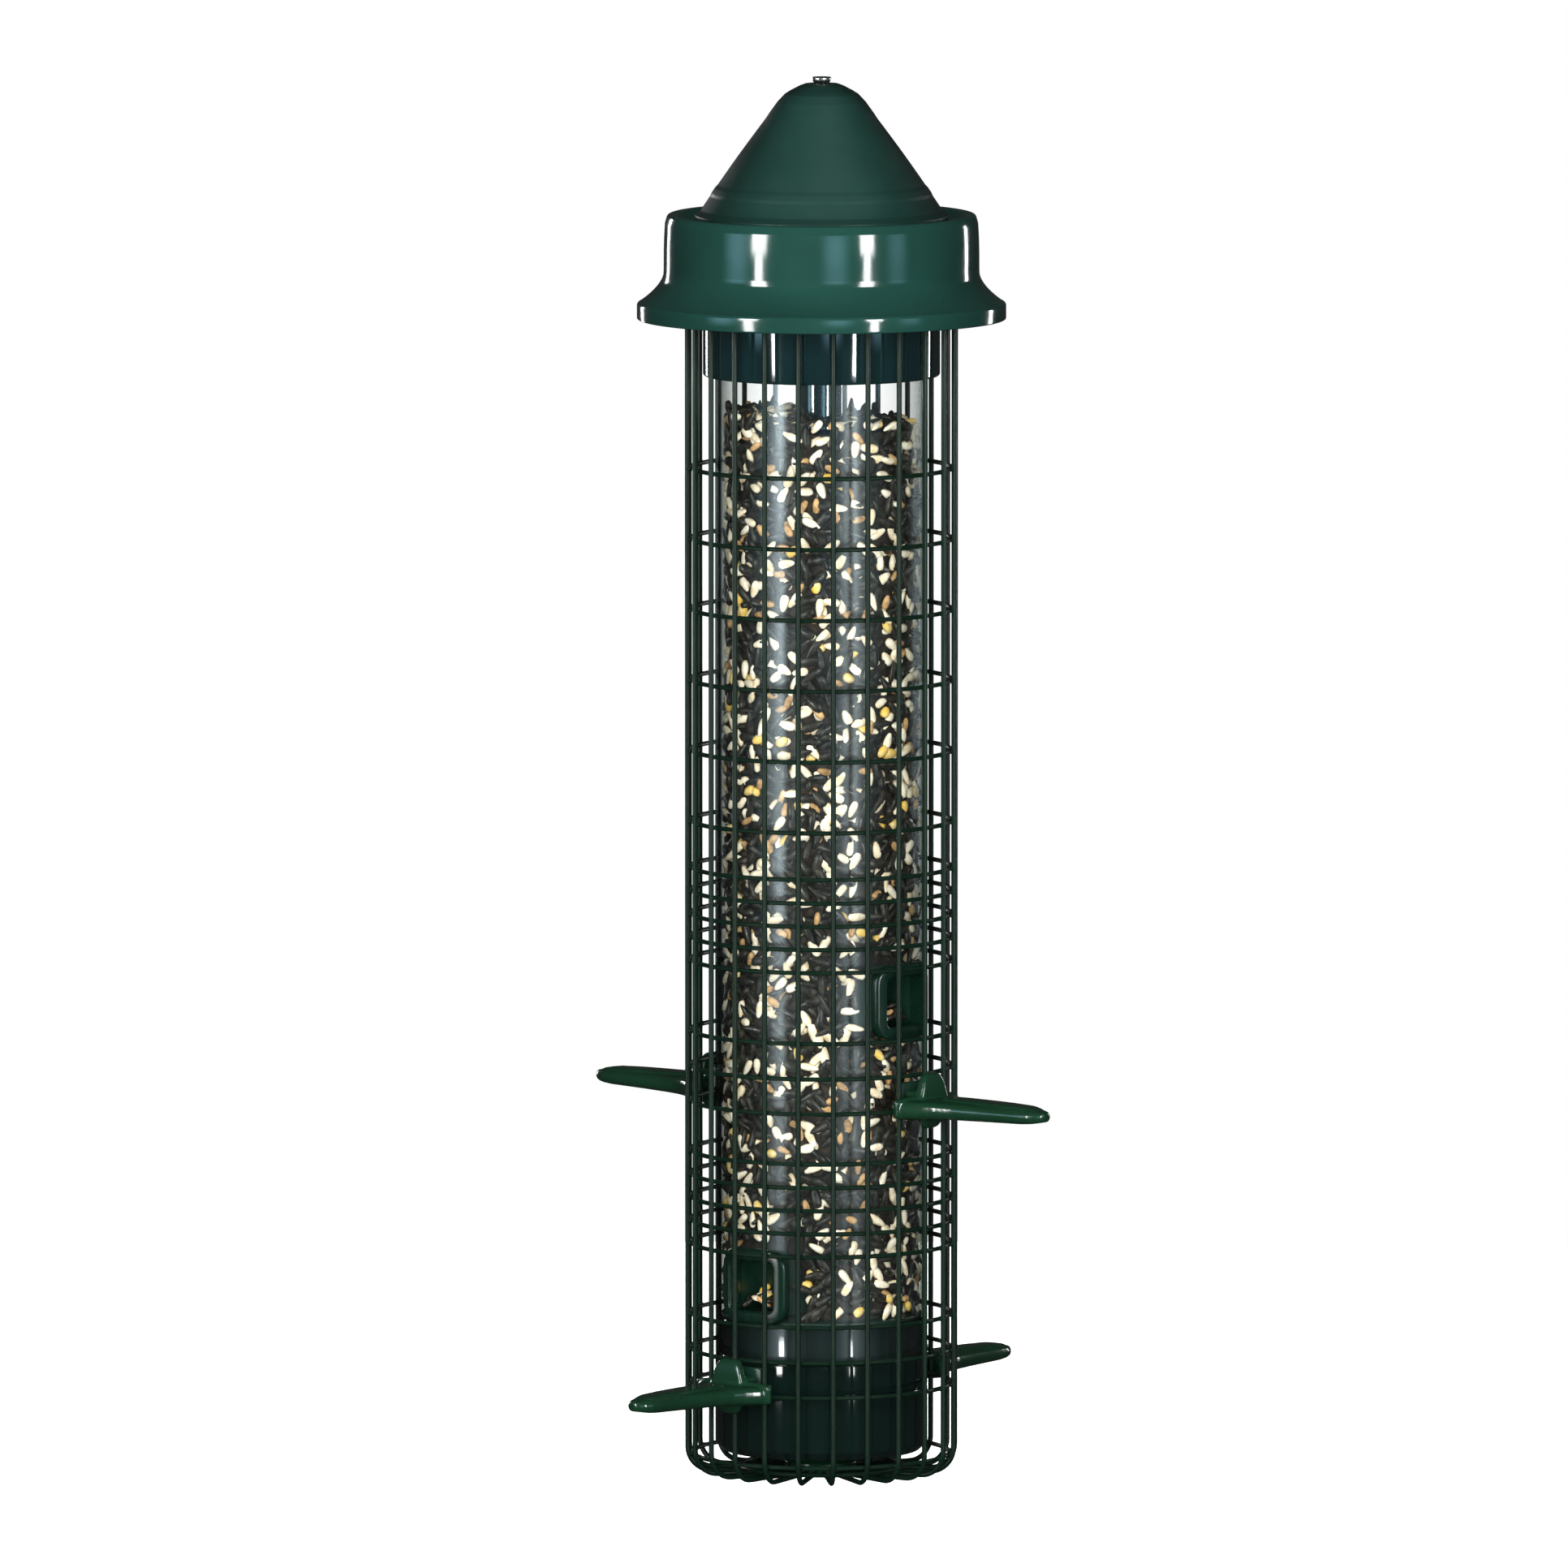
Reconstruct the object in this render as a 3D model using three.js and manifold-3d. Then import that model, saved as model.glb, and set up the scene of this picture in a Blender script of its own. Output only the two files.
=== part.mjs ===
// Hanging tube bird feeder with a sprung wire cage. Millimetres, +Z up.
// The origin is on the feeder's axis, at the underside of the cage floor.
// Feed ports: upper tier on +X and -X, lower tier on +Y and -Y. The cage hangs on a spring
// inside the centre tube and drops over the ports under too much weight.
import * as THREE from "three";
import { mergeVertices } from "three/addons/utils/BufferGeometryUtils.js";
import Module from "manifold-3d";

const wasm = await Module();
wasm.setup();

// ---- Driving dimensions -------------------------------------------------------------------

const GAP = 0.3; // between pieces that seat on each other
const TURN_SEGMENTS = 32; // facets round a large turned piece
const SMALL_SEGMENTS = 16; // facets round a small turned piece

// Seed tube
const TUBE_RADIUS = 44;
const TUBE_WALL = 2;
const TUBE_BOTTOM = 50;
const JOINT_ABOVE_PORT = 28; // from an upper port's middle up to where the tube's two lengths meet
const CENTRE_TUBE_RADIUS = 9.25;
const CENTRE_TUBE_WALL = 1.1;

// Base cup and its seed cone
const CUP_BOTTOM = 10;
const CUP_WALL = 2.4;
const SPIGOT_TOP = 65.4;
const CONE_WALL = 1.6;
const CONE_RISE = 4;

// Hood and fill mouth
const LEDGE_TOP = 520;
const SEED_BELOW_LEDGE = 77;
const LEDGE_THICKNESS = 2;
const HOOD_WALL = 2;
const RIM_HEIGHT = 4;
const RIM_WIDTH = 4;
const DRUM_SPACE = 9.6; // from the uprights' circle out to the drum
const DRUM_HEIGHT = 21;
const BRIM_FLARE = 11.1; // from the drum out to the brim
const FLARE_HEIGHT = 12;
const BRIM_HEIGHT = 6.5;
const MOUTH_STEP = 2.6; // the fill mouth is this much smaller than the tube
const COLLAR_WALL = 4.7;
const COLLAR_HEIGHT = 63; // from the ledge down

// Roof cap
const CAP_HEIGHT = 57.6;
const CAP_WALL = 2;
const CAP_LIP_REACH = 8.4; // beyond the tube
const CAP_LIP_HEIGHT = 3.2;
const CAP_LIP_STEP = 2.5; // from the lip in to the eave
const CAP_SHOULDER_RADIUS = 21.2;
const CAP_SHOULDER_DROP = 12;
const CAP_CROWN_RADIUS = 13;
const CAP_CROWN_DROP = 2.9;
const CAP_HOLE_RADIUS = 5.6;

// Hanger
const STEM_RADIUS = 2.5;
const FERRULE_RADIUS = 4;
const FERRULE_HEIGHT = 2.4;
const SPIDER_HEIGHT = 12;
const SPIDER_HUB_RADIUS = 12;
const SPIDER_ARM_WIDTH = 5;
const SPIDER_BELOW_LEDGE = 6;
const SPIDER_SPIGOT = 6; // into the centre tube
const STEM_SPARE = 2; // stem below its nut

// Feed ports
const PORT_WIDTH = 26;
const PORT_HEIGHT = 24;
const PORT_FRAME_WIDTH = 34;
const PORT_FRAME_HEIGHT = 33;
const PORT_FRAME_THICKNESS = 2.7;
const LINER_WALL = 1.4;
const LINER_REACH = 4; // how far the liner stands inside the tube's bore
const LOWER_PORT_MID = 82;
const TIER_SPACING = 118;
const TUBE_JOINT = LOWER_PORT_MID + TIER_SPACING + JOINT_ABOVE_PORT;
const BAFFLE_DEPTH = 14;
const BAFFLE_WALL = 1.5;
const BAFFLE_RISE = 3; // above the window, at the tube wall
const BAFFLE_BACK = 8; // height of the back wall

// Cage
const UPRIGHT_COUNT = 24;
const CAGE_SPACE = 11.6; // from the tube out to the wires' centres
const UPRIGHT_WIRE = 1.1; // wire radius
const UPRIGHT_BELOW_LEDGE = 8;
const FLOOR_BEND = 10;
const FLOOR_WIRE_LEVEL = 1.4;
const RING_WIRE = 0.95; // wire radius
const FLOOR_RING_RADIUS = 34;
const HUB_RADIUS = 15;
const HUB_HEIGHT = 6.5;
const KNOB_RADIUS = 10;
const KNOB_HEIGHT = 3.8;

// Ring heights: each tier's set is measured from the lower edge of its feeding window
const WINDOW_EDGE = 67;
const TIER_RINGS = [-29.2, -14.7, 0, 29.4, 39, 48.6, 58.2, 68];
const TOP_SET_START = 272.3;
const TOP_SET_PITCH = 29.3;
const TOP_SET_COUNT = 6;
const LOWEST_RING = 8.5;

// Perches
const PERCH_BELOW_WINDOW = 27.6; // from the window edge down to the perch's middle
const PERCH_REACH = 65.4; // from the wires' centres out to the tip
const PERCH_THICKNESS = 7;
const PERCH_ROOT_WIDTH = 25;
const PERCH_TIP_WIDTH = 12;
const PAD_HALF_ANGLE = 19.5; // degrees
const PAD_THICKNESS = 3.4;
const PAD_HEIGHT = 11;
const POST_WIDTH = 11;
const POST_ABOVE = 14;
const POST_BELOW = 9;
const PEG_RADIUS = 1.8;
const PEG_OFFSET = 7.2;
const PEG_ABOVE = 5;
const CLIP_WIDTH = 20;
const CLIP_HEIGHT = 10;
const CLIP_THICKNESS = 2.2;

// Lift rod and spring
const ROD_RADIUS = 2;
const ROD_CLEARANCE = 0.4;
const ROD_BOTTOM = 1.5;
const ROD_SPARE = 3; // rod above the nut
const BUSH_RADIUS = 7.6;
const BUSH_FLANGE_RADIUS = 11;
const BUSH_FLANGE = 1.8;
const BUSH_BOSS = 7.5; // above its flange
const SPRING_LENGTH = 105;
const SPRING_MEAN_RADIUS = 5.2;
const SPRING_WIRE = 0.7; // wire radius
const SPRING_TURNS = 10;
const NUT_FLANGE_RADIUS = 7.5;
const NUT_FLANGE = 1.6;
const NUT_RADIUS = 4;
const NUT_HEIGHT = 3.2;

// ---- Colours ------------------------------------------------------------------------------

const HOOD_GREEN = 0x26504a;
const CAGE_GREEN = 0x17332a;
const PERCH_GREEN = 0x1f4a35;
const DARK_GREEN = 0x12231f;
const CLEAR = 0xdfe8e6;
const STEEL = 0xb9bcbd;
const BRASS = 0xb5924c;
const SEED = 0x4a3d2c;

// ---- Values that follow from them ---------------------------------------------------------

const TUBE_BORE = TUBE_RADIUS - TUBE_WALL;
const UPRIGHT_CIRCLE = TUBE_RADIUS + CAGE_SPACE;
const UPRIGHT_TOP = LEDGE_TOP - UPRIGHT_BELOW_LEDGE;
const SEED_TOP = LEDGE_TOP - SEED_BELOW_LEDGE;
const DRUM_RADIUS = UPRIGHT_CIRCLE + DRUM_SPACE;
const DRUM_BOTTOM = LEDGE_TOP - DRUM_HEIGHT;
const BRIM_RADIUS = DRUM_RADIUS + BRIM_FLARE;
const BRIM_TOP = DRUM_BOTTOM - FLARE_HEIGHT;
const BRIM_BOTTOM = BRIM_TOP - BRIM_HEIGHT;
const MOUTH_RADIUS = TUBE_RADIUS - MOUTH_STEP;
const COLLAR_RADIUS = TUBE_RADIUS + GAP + COLLAR_WALL;
const COLLAR_BOTTOM = LEDGE_TOP - COLLAR_HEIGHT;
const CAP_LIP_RADIUS = TUBE_RADIUS + CAP_LIP_REACH;
const CAP_EAVE_RADIUS = CAP_LIP_RADIUS - CAP_LIP_STEP;
const PERCH_TIP_RADIUS = UPRIGHT_CIRCLE + PERCH_REACH;
const LINER_INSIDE = TUBE_BORE - LINER_REACH;
const CENTRE_BORE = CENTRE_TUBE_RADIUS - CENTRE_TUBE_WALL;
const LEDGE_UNDERSIDE = LEDGE_TOP - LEDGE_THICKNESS;
const CUP_FLOOR_TOP = CUP_BOTTOM + CUP_WALL;
const CONE_EDGE = SPIGOT_TOP + GAP;
const BUSH_BOTTOM = HUB_HEIGHT + GAP;
const FLANGE_BOTTOM = CUP_FLOOR_TOP + GAP;
const FLANGE_TOP = FLANGE_BOTTOM + BUSH_FLANGE;
const SPRING_SEAT = FLANGE_TOP + BUSH_BOSS;
const SPRING_BOTTOM = SPRING_SEAT + GAP;
const NUT_BOTTOM = SPRING_BOTTOM + SPRING_LENGTH + GAP;
const NUT_TOP = NUT_BOTTOM + NUT_FLANGE + NUT_HEIGHT;
const ROD_TOP = NUT_TOP + ROD_SPARE;
const SPIDER_TOP = LEDGE_UNDERSIDE - SPIDER_BELOW_LEDGE;
const SPIDER_BOTTOM = SPIDER_TOP - SPIDER_HEIGHT;
const CAP_BOTTOM = LEDGE_TOP + GAP;
const CAP_APEX = CAP_BOTTOM + CAP_HEIGHT;
const FERRULE_BOTTOM = CAP_APEX + GAP;
const STEM_TOP = FERRULE_BOTTOM - GAP;
const RING_CIRCLE = UPRIGHT_CIRCLE - UPRIGHT_WIRE - RING_WIRE - GAP * 0.8;
const CAGE_OUTSIDE = UPRIGHT_CIRCLE + UPRIGHT_WIRE;
const PAD_INSIDE = CAGE_OUTSIDE + GAP;
const CLIP_OUTSIDE = RING_CIRCLE - RING_WIRE - GAP;
const TIERS = [
  { name: "lower", portMid: LOWER_PORT_MID, window: WINDOW_EDGE, sides: [["front", 270], ["rear", 90]] },
  {
    name: "upper",
    portMid: LOWER_PORT_MID + TIER_SPACING,
    window: WINDOW_EDGE + TIER_SPACING,
    sides: [["right", 0], ["left", 180]],
  },
];

// ---- Geometry helpers ---------------------------------------------------------------------

// A closed geometry as a manifold solid.
function solid(geometry) {
  const bare = geometry.clone();
  bare.deleteAttribute("normal");
  bare.deleteAttribute("uv");
  const merged = mergeVertices(bare, 1e-4);
  const triVerts = new Uint32Array(merged.index.array);
  const vertProperties = merged.attributes.position.array;
  return new wasm.Manifold(new wasm.Mesh({ numProp: 3, vertProperties, triVerts }));
}

// A manifold solid as a geometry.
function geometryOf(body) {
  const mesh = body.getMesh();
  const geometry = new THREE.BufferGeometry();
  geometry.setAttribute("position", new THREE.BufferAttribute(new Float32Array(mesh.vertProperties), 3));
  geometry.setIndex(new THREE.BufferAttribute(new Uint32Array(mesh.triVerts), 1));
  geometry.computeVertexNormals();
  return geometry;
}

// A solid turned about Z from a closed outline of [radius, height] points, listed so that
// the material lies on the left of the path.
function turned(outline, segments = TURN_SEGMENTS) {
  const points = outline.map(([r, z]) => new THREE.Vector2(r, z));
  const closesOnAxis = outline[0][0] === 0 && outline.at(-1)[0] === 0;
  if (!closesOnAxis) points.push(points[0].clone());
  return solid(new THREE.LatheGeometry(points, segments).rotateX(Math.PI / 2));
}

// A ring of rectangular section.
function sleeve(inner, outer, bottom, top, segments = TURN_SEGMENTS) {
  return turned([[inner, bottom], [outer, bottom], [outer, top], [inner, top]], segments);
}

// A round bar on the axis.
function bar(radius, bottom, top, segments = SMALL_SEGMENTS) {
  return turned([[0, bottom], [radius, bottom], [radius, top], [0, top]], segments);
}

// A box between two corners.
function block(low, high) {
  const size = high.map((value, i) => value - low[i]);
  const middle = high.map((value, i) => (value + low[i]) / 2);
  return solid(new THREE.BoxGeometry(...size).translate(...middle));
}

// An outline of [x, y] points raised from one height to another.
function raised(outline, bottom, top) {
  const shape = new THREE.Shape(outline.map(([x, y]) => new THREE.Vector2(x, y)));
  const options = { depth: top - bottom, bevelEnabled: false, curveSegments: 6 };
  return solid(new THREE.ExtrudeGeometry(shape, options).translate(0, 0, bottom));
}

// An outline of [x, z] points given a width across Y.
function crosswise(outline, width) {
  const shape = new THREE.Shape(outline.map(([x, z]) => new THREE.Vector2(x, z)));
  const options = { depth: width, bevelEnabled: false };
  const geometry = new THREE.ExtrudeGeometry(shape, options).translate(0, 0, -width / 2);
  return solid(geometry.rotateX(Math.PI / 2));
}

// Points on an arc in a plane, from one angle to another, in degrees.
function arc(centre, radius, from, to, count) {
  return Array.from({ length: count + 1 }, (_, i) => {
    const angle = THREE.MathUtils.degToRad(from + ((to - from) * i) / count);
    return [centre[0] + radius * Math.cos(angle), centre[1] + radius * Math.sin(angle)];
  });
}

// A path through chosen points, one section at each point.
class WirePath extends THREE.Curve {
  constructor(points) {
    super();
    this.points = points;
  }
  getPoint(t, target = new THREE.Vector3()) {
    const place = t * (this.points.length - 1);
    const i = Math.min(Math.floor(place), this.points.length - 2);
    return target.lerpVectors(this.points[i], this.points[i + 1], place - i);
  }
  getPointAt(u, target) {
    return this.getPoint(u, target);
  }
  getTangentAt(u, target = new THREE.Vector3()) {
    const i = Math.round(u * (this.points.length - 1));
    const before = this.points[Math.max(i - 1, 0)];
    const after = this.points[Math.min(i + 1, this.points.length - 1)];
    return target.subVectors(after, before).normalize();
  }
}

// A wire of round section along a list of points.
function wire(points, radius, sides) {
  const section = new THREE.Shape(
    Array.from({ length: sides }, (_, i) => {
      const angle = ((i + 0.5) / sides) * 2 * Math.PI;
      return new THREE.Vector2(radius * Math.cos(angle), radius * Math.sin(angle));
    }),
  );
  const options = { steps: points.length - 1, extrudePath: new WirePath(points), bevelEnabled: false };
  return solid(new THREE.ExtrudeGeometry(section, options));
}

// A ring of wire about the axis, its corners in line with the uprights.
function wireRing(radius, wireRadius, height, sides) {
  return solid(new THREE.TorusGeometry(radius, wireRadius, sides, UPRIGHT_COUNT).translate(0, 0, height));
}

// A hexagonal nut about the axis.
function nut(radius, bore, bottom, top) {
  return bar(radius, bottom, top, 6).subtract(bar(bore, bottom - 1, top + 1, 12));
}

// ---- The feeder ---------------------------------------------------------------------------

const feeder = new THREE.Group();

// Adds one named piece. turn is its angle about Z, in degrees.
function addPiece(name, body, color, roughness, metalness = 0, turn = 0) {
  const material = new THREE.MeshStandardMaterial({ color, roughness, metalness });
  const mesh = new THREE.Mesh(geometryOf(body), material);
  mesh.name = name;
  mesh.rotation.z = THREE.MathUtils.degToRad(turn);
  feeder.add(mesh);
}

// ---- Roof and hood ------------------------------------------------------------------------

// The cap is a thin cone with a shallow crown, a rounded shoulder and a small turned-out lip.
function roofCap() {
  const shoulder = CAP_APEX - CAP_SHOULDER_DROP;
  const crown = CAP_APEX - CAP_CROWN_DROP;
  const lipTop = CAP_BOTTOM + CAP_LIP_HEIGHT;
  const eave = lipTop + 2;
  const slope = Math.atan2(CAP_EAVE_RADIUS - CAP_SHOULDER_RADIUS, shoulder - eave);
  const inward = CAP_WALL / Math.cos(slope); // the wall measured level
  return turned([
    [CAP_HOLE_RADIUS, CAP_APEX - CAP_WALL - 0.3],
    [CAP_CROWN_RADIUS - 1, crown - CAP_WALL],
    [CAP_SHOULDER_RADIUS - inward, shoulder],
    [CAP_EAVE_RADIUS - inward, eave],
    [CAP_LIP_RADIUS - CAP_WALL, lipTop - CAP_WALL],
    [CAP_LIP_RADIUS - CAP_WALL, CAP_BOTTOM],
    [CAP_LIP_RADIUS, CAP_BOTTOM],
    [CAP_LIP_RADIUS, lipTop],
    [CAP_LIP_RADIUS - 1, lipTop + 1],
    [CAP_EAVE_RADIUS, eave],
    [CAP_SHOULDER_RADIUS, shoulder],
    [CAP_SHOULDER_RADIUS - 3, shoulder + 4],
    [CAP_CROWN_RADIUS + 2, crown - 1.6],
    [CAP_CROWN_RADIUS, crown],
    [CAP_CROWN_RADIUS - 4, CAP_APEX - 0.9],
    [CAP_HOLE_RADIUS, CAP_APEX],
  ]);
}
addPiece("roof_cap", roofCap(), HOOD_GREEN, 0.45);

// The grommet lines the cap's hole and is held by a flange under the crown.
function capGrommet() {
  const bore = FERRULE_RADIUS + GAP;
  const barrel = CAP_HOLE_RADIUS - GAP;
  const flangeTop = CAP_APEX - CAP_WALL - 1.4;
  return turned(
    [
      [bore, flangeTop - 1.5],
      [CAP_HOLE_RADIUS + 2, flangeTop - 1.5],
      [CAP_HOLE_RADIUS + 2, flangeTop],
      [barrel, flangeTop],
      [barrel, CAP_APEX],
      [bore, CAP_APEX],
    ],
    24,
  );
}
addPiece("cap_grommet", capGrommet(), DARK_GREEN, 0.6);

// The hood: a ledge round the fill mouth, a rounded rim, a drum and a flared brim.
function hood() {
  const flare = BRIM_RADIUS - DRUM_RADIUS;
  const fall = DRUM_BOTTOM - BRIM_TOP;
  const flareCurve = (offset) =>
    [0.25, 0.5, 0.75].map((t) => [
      DRUM_RADIUS - offset + flare * t ** 1.7,
      DRUM_BOTTOM - fall * t - offset * t,
    ]);
  const rimOuter = arc([DRUM_RADIUS - RIM_WIDTH, LEDGE_TOP], RIM_HEIGHT, 0, 90, 3);
  const rimInner = DRUM_RADIUS - RIM_WIDTH - 1.5;
  return turned([
    [MOUTH_RADIUS, LEDGE_UNDERSIDE],
    [DRUM_RADIUS - HOOD_WALL, LEDGE_UNDERSIDE],
    [DRUM_RADIUS - HOOD_WALL, DRUM_BOTTOM],
    ...flareCurve(HOOD_WALL),
    [BRIM_RADIUS - HOOD_WALL, BRIM_TOP - HOOD_WALL],
    [BRIM_RADIUS - HOOD_WALL, BRIM_BOTTOM],
    [BRIM_RADIUS, BRIM_BOTTOM],
    [BRIM_RADIUS, BRIM_TOP],
    ...flareCurve(0).reverse(),
    [DRUM_RADIUS, DRUM_BOTTOM],
    ...rimOuter,
    [rimInner, LEDGE_TOP + RIM_HEIGHT - 0.8],
    [rimInner - 2.2, LEDGE_TOP],
    [MOUTH_RADIUS, LEDGE_TOP],
  ]);
}
addPiece("hood", hood(), HOOD_GREEN, 0.25);

addPiece(
  "tube_collar",
  sleeve(TUBE_RADIUS + GAP, COLLAR_RADIUS, COLLAR_BOTTOM, LEDGE_UNDERSIDE - GAP),
  DARK_GREEN,
  0.15,
);

// ---- Hanger -------------------------------------------------------------------------------

// Three arms join a ring inside the tube to a hub that plugs into the centre tube.
function fillSpider() {
  const ringOuter = TUBE_BORE - GAP;
  let spider = sleeve(ringOuter - 3, ringOuter, SPIDER_BOTTOM + 4, SPIDER_TOP);
  spider = spider.add(bar(SPIDER_HUB_RADIUS, SPIDER_BOTTOM, SPIDER_TOP));
  const spigot = bar(CENTRE_BORE - GAP, SPIDER_BOTTOM - SPIDER_SPIGOT, SPIDER_BOTTOM + 1);
  spider = spider.add(spigot);
  for (const angle of [90, 210, 330]) {
    const arm = block(
      [SPIDER_HUB_RADIUS - 2, -SPIDER_ARM_WIDTH / 2, SPIDER_BOTTOM + 4],
      [ringOuter - 1.5, SPIDER_ARM_WIDTH / 2, SPIDER_TOP - 1],
    );
    spider = spider.add(arm.rotate([0, 0, angle]));
  }
  return spider.subtract(bar(STEM_RADIUS + GAP, SPIDER_BOTTOM - 8, SPIDER_TOP + 1));
}
addPiece("fill_spider", fillSpider(), DARK_GREEN, 0.5);

const STEM_NUT_TOP = SPIDER_BOTTOM - SPIDER_SPIGOT - GAP;
const STEM_NUT_BOTTOM = STEM_NUT_TOP - NUT_HEIGHT;
addPiece("stem_nut", nut(NUT_RADIUS, STEM_RADIUS + GAP, STEM_NUT_BOTTOM, STEM_NUT_TOP), STEEL, 0.3, 1);
addPiece("hanger_stem", bar(STEM_RADIUS, STEM_NUT_BOTTOM - STEM_SPARE, STEM_TOP), STEEL, 0.35, 1);
addPiece(
  "hanger_ferrule",
  turned(
    [
      [0, FERRULE_BOTTOM],
      [FERRULE_RADIUS - 0.8, FERRULE_BOTTOM],
      [FERRULE_RADIUS, FERRULE_BOTTOM + FERRULE_HEIGHT],
      [0, FERRULE_BOTTOM + FERRULE_HEIGHT],
    ],
    SMALL_SEGMENTS,
  ),
  STEEL,
  0.3,
  1,
);

// ---- Seed tube, ports and seed ------------------------------------------------------------

// The window through the tube wall at one port.
function portWindow(portMid, angle) {
  const half = [PORT_WIDTH / 2, PORT_HEIGHT / 2];
  return block([TUBE_BORE - 10, -half[0], portMid - half[1]], [TUBE_RADIUS + 10, half[0], portMid + half[1]])
    .rotate([0, 0, angle]);
}

// The lower length has the ports' windows; the upper length butts on it.
let lowerTube = sleeve(TUBE_BORE, TUBE_RADIUS, TUBE_BOTTOM, TUBE_JOINT);
for (const tier of TIERS) {
  for (const [, angle] of tier.sides) lowerTube = lowerTube.subtract(portWindow(tier.portMid, angle));
}
addPiece("feed_tube_lower", lowerTube, CLEAR, 0.08);
const upperTube = sleeve(TUBE_BORE, TUBE_RADIUS, TUBE_JOINT + GAP, LEDGE_UNDERSIDE - GAP);
addPiece("feed_tube_upper", upperTube, CLEAR, 0.08);

addPiece(
  "centre_tube",
  sleeve(CENTRE_BORE, CENTRE_TUBE_RADIUS, FLANGE_TOP + GAP, SPIDER_BOTTOM - GAP, 24),
  DARK_GREEN,
  0.4,
);

// The frame's face curves with the tube, and its liner passes through the window.
function portFrame(portMid) {
  const inner = TUBE_RADIUS + GAP;
  const bottom = portMid - PORT_FRAME_HEIGHT / 2;
  const face = sleeve(inner, inner + PORT_FRAME_THICKNESS, bottom, bottom + PORT_FRAME_HEIGHT, 72).intersect(
    block([inner * 0.5, -PORT_FRAME_WIDTH / 2, bottom - 1], [inner * 2, PORT_FRAME_WIDTH / 2, bottom + 60]),
  );
  const linerHalf = [PORT_WIDTH / 2 - GAP, PORT_HEIGHT / 2 - GAP];
  const liner = block(
    [LINER_INSIDE, -linerHalf[0], portMid - linerHalf[1]],
    [inner + 0.5, linerHalf[0], portMid + linerHalf[1]],
  );
  const open = linerHalf.map((value) => value - LINER_WALL);
  return face.add(liner).subtract(
    block([0, -open[0], portMid - open[1]], [TUBE_RADIUS + 20, open[0], portMid + open[1]]),
  );
}

// The side outline of a baffle: a roof that leans in from above the window to a short back
// wall. grow widens it all round for the seed's pocket, or narrows it for the hollow, which
// also runs out through the foot.
function baffleOutline(portMid, grow) {
  const outer = LINER_INSIDE - GAP;
  const back = outer - BAFFLE_DEPTH - grow;
  const foot = portMid - PORT_HEIGHT / 2 + GAP;
  const bottom = grow < 0 ? foot - 6 : foot - grow;
  const roof = portMid + PORT_HEIGHT / 2 + BAFFLE_RISE + grow;
  return [
    [outer + 12, bottom],
    [back, bottom],
    [back, foot + BAFFLE_BACK + grow],
    [outer, roof],
    [outer + 12, roof],
  ];
}

function portBaffle(portMid) {
  const outer = LINER_INSIDE - GAP;
  const reach = 60;
  const cover = crosswise(baffleOutline(portMid, 0), PORT_WIDTH).intersect(
    block([0, -reach, 0], [outer, reach, LEDGE_TOP]),
  );
  return cover.subtract(crosswise(baffleOutline(portMid, -BAFFLE_WALL), PORT_WIDTH - 2 * BAFFLE_WALL));
}

for (const tier of TIERS) {
  for (const [side, angle] of tier.sides) {
    addPiece(`port_frame_${side}`, portFrame(tier.portMid), PERCH_GREEN, 0.35, 0, angle);
    addPiece(`port_baffle_${side}`, portBaffle(tier.portMid), DARK_GREEN, 0.4, 0, angle);
  }
}

// The seed mix fills the tube from the cone up, clear of the baffles and the centre tube.
function seedFill() {
  const inner = CENTRE_TUBE_RADIUS + GAP;
  const outer = TUBE_BORE - GAP;
  let seed = turned([
    [inner, CONE_EDGE + CONE_RISE + CONE_WALL + GAP],
    [outer, CONE_EDGE + CONE_WALL + GAP],
    [outer, SEED_TOP - 4],
    [(inner + outer) / 2, SEED_TOP],
    [inner, SEED_TOP - 2],
  ]);
  for (const tier of TIERS) {
    for (const [, angle] of tier.sides) {
      const pocket = crosswise(baffleOutline(tier.portMid, GAP), PORT_WIDTH + 2 * GAP);
      seed = seed.subtract(pocket.rotate([0, 0, angle]));
    }
  }
  return seed;
}
addPiece("seed_fill", seedFill(), SEED, 0.8);

// ---- Base ---------------------------------------------------------------------------------

// An open cup below the tube, with a spigot up inside it.
function baseCup() {
  const spigot = TUBE_BORE - GAP;
  const step = TUBE_BOTTOM - GAP;
  return turned([
    [BUSH_RADIUS + GAP, CUP_BOTTOM],
    [TUBE_RADIUS - 3, CUP_BOTTOM],
    [TUBE_RADIUS, CUP_BOTTOM + 3],
    [TUBE_RADIUS, step],
    [spigot, step],
    [spigot, SPIGOT_TOP],
    [spigot - CUP_WALL, SPIGOT_TOP],
    [spigot - CUP_WALL, CUP_FLOOR_TOP],
    [BUSH_RADIUS + GAP, CUP_FLOOR_TOP],
  ]);
}
addPiece("base_cup", baseCup(), DARK_GREEN, 0.15);

// The cone turns the seed out to the lower ports.
function seedCone() {
  const inner = CENTRE_TUBE_RADIUS + GAP;
  const outer = TUBE_BORE - GAP;
  return turned([
    [outer, CONE_EDGE],
    [outer, CONE_EDGE + CONE_WALL],
    [inner, CONE_EDGE + CONE_RISE + CONE_WALL],
    [inner, CONE_EDGE + CONE_RISE],
  ]);
}
addPiece("seed_cone", seedCone(), DARK_GREEN, 0.4);

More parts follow.
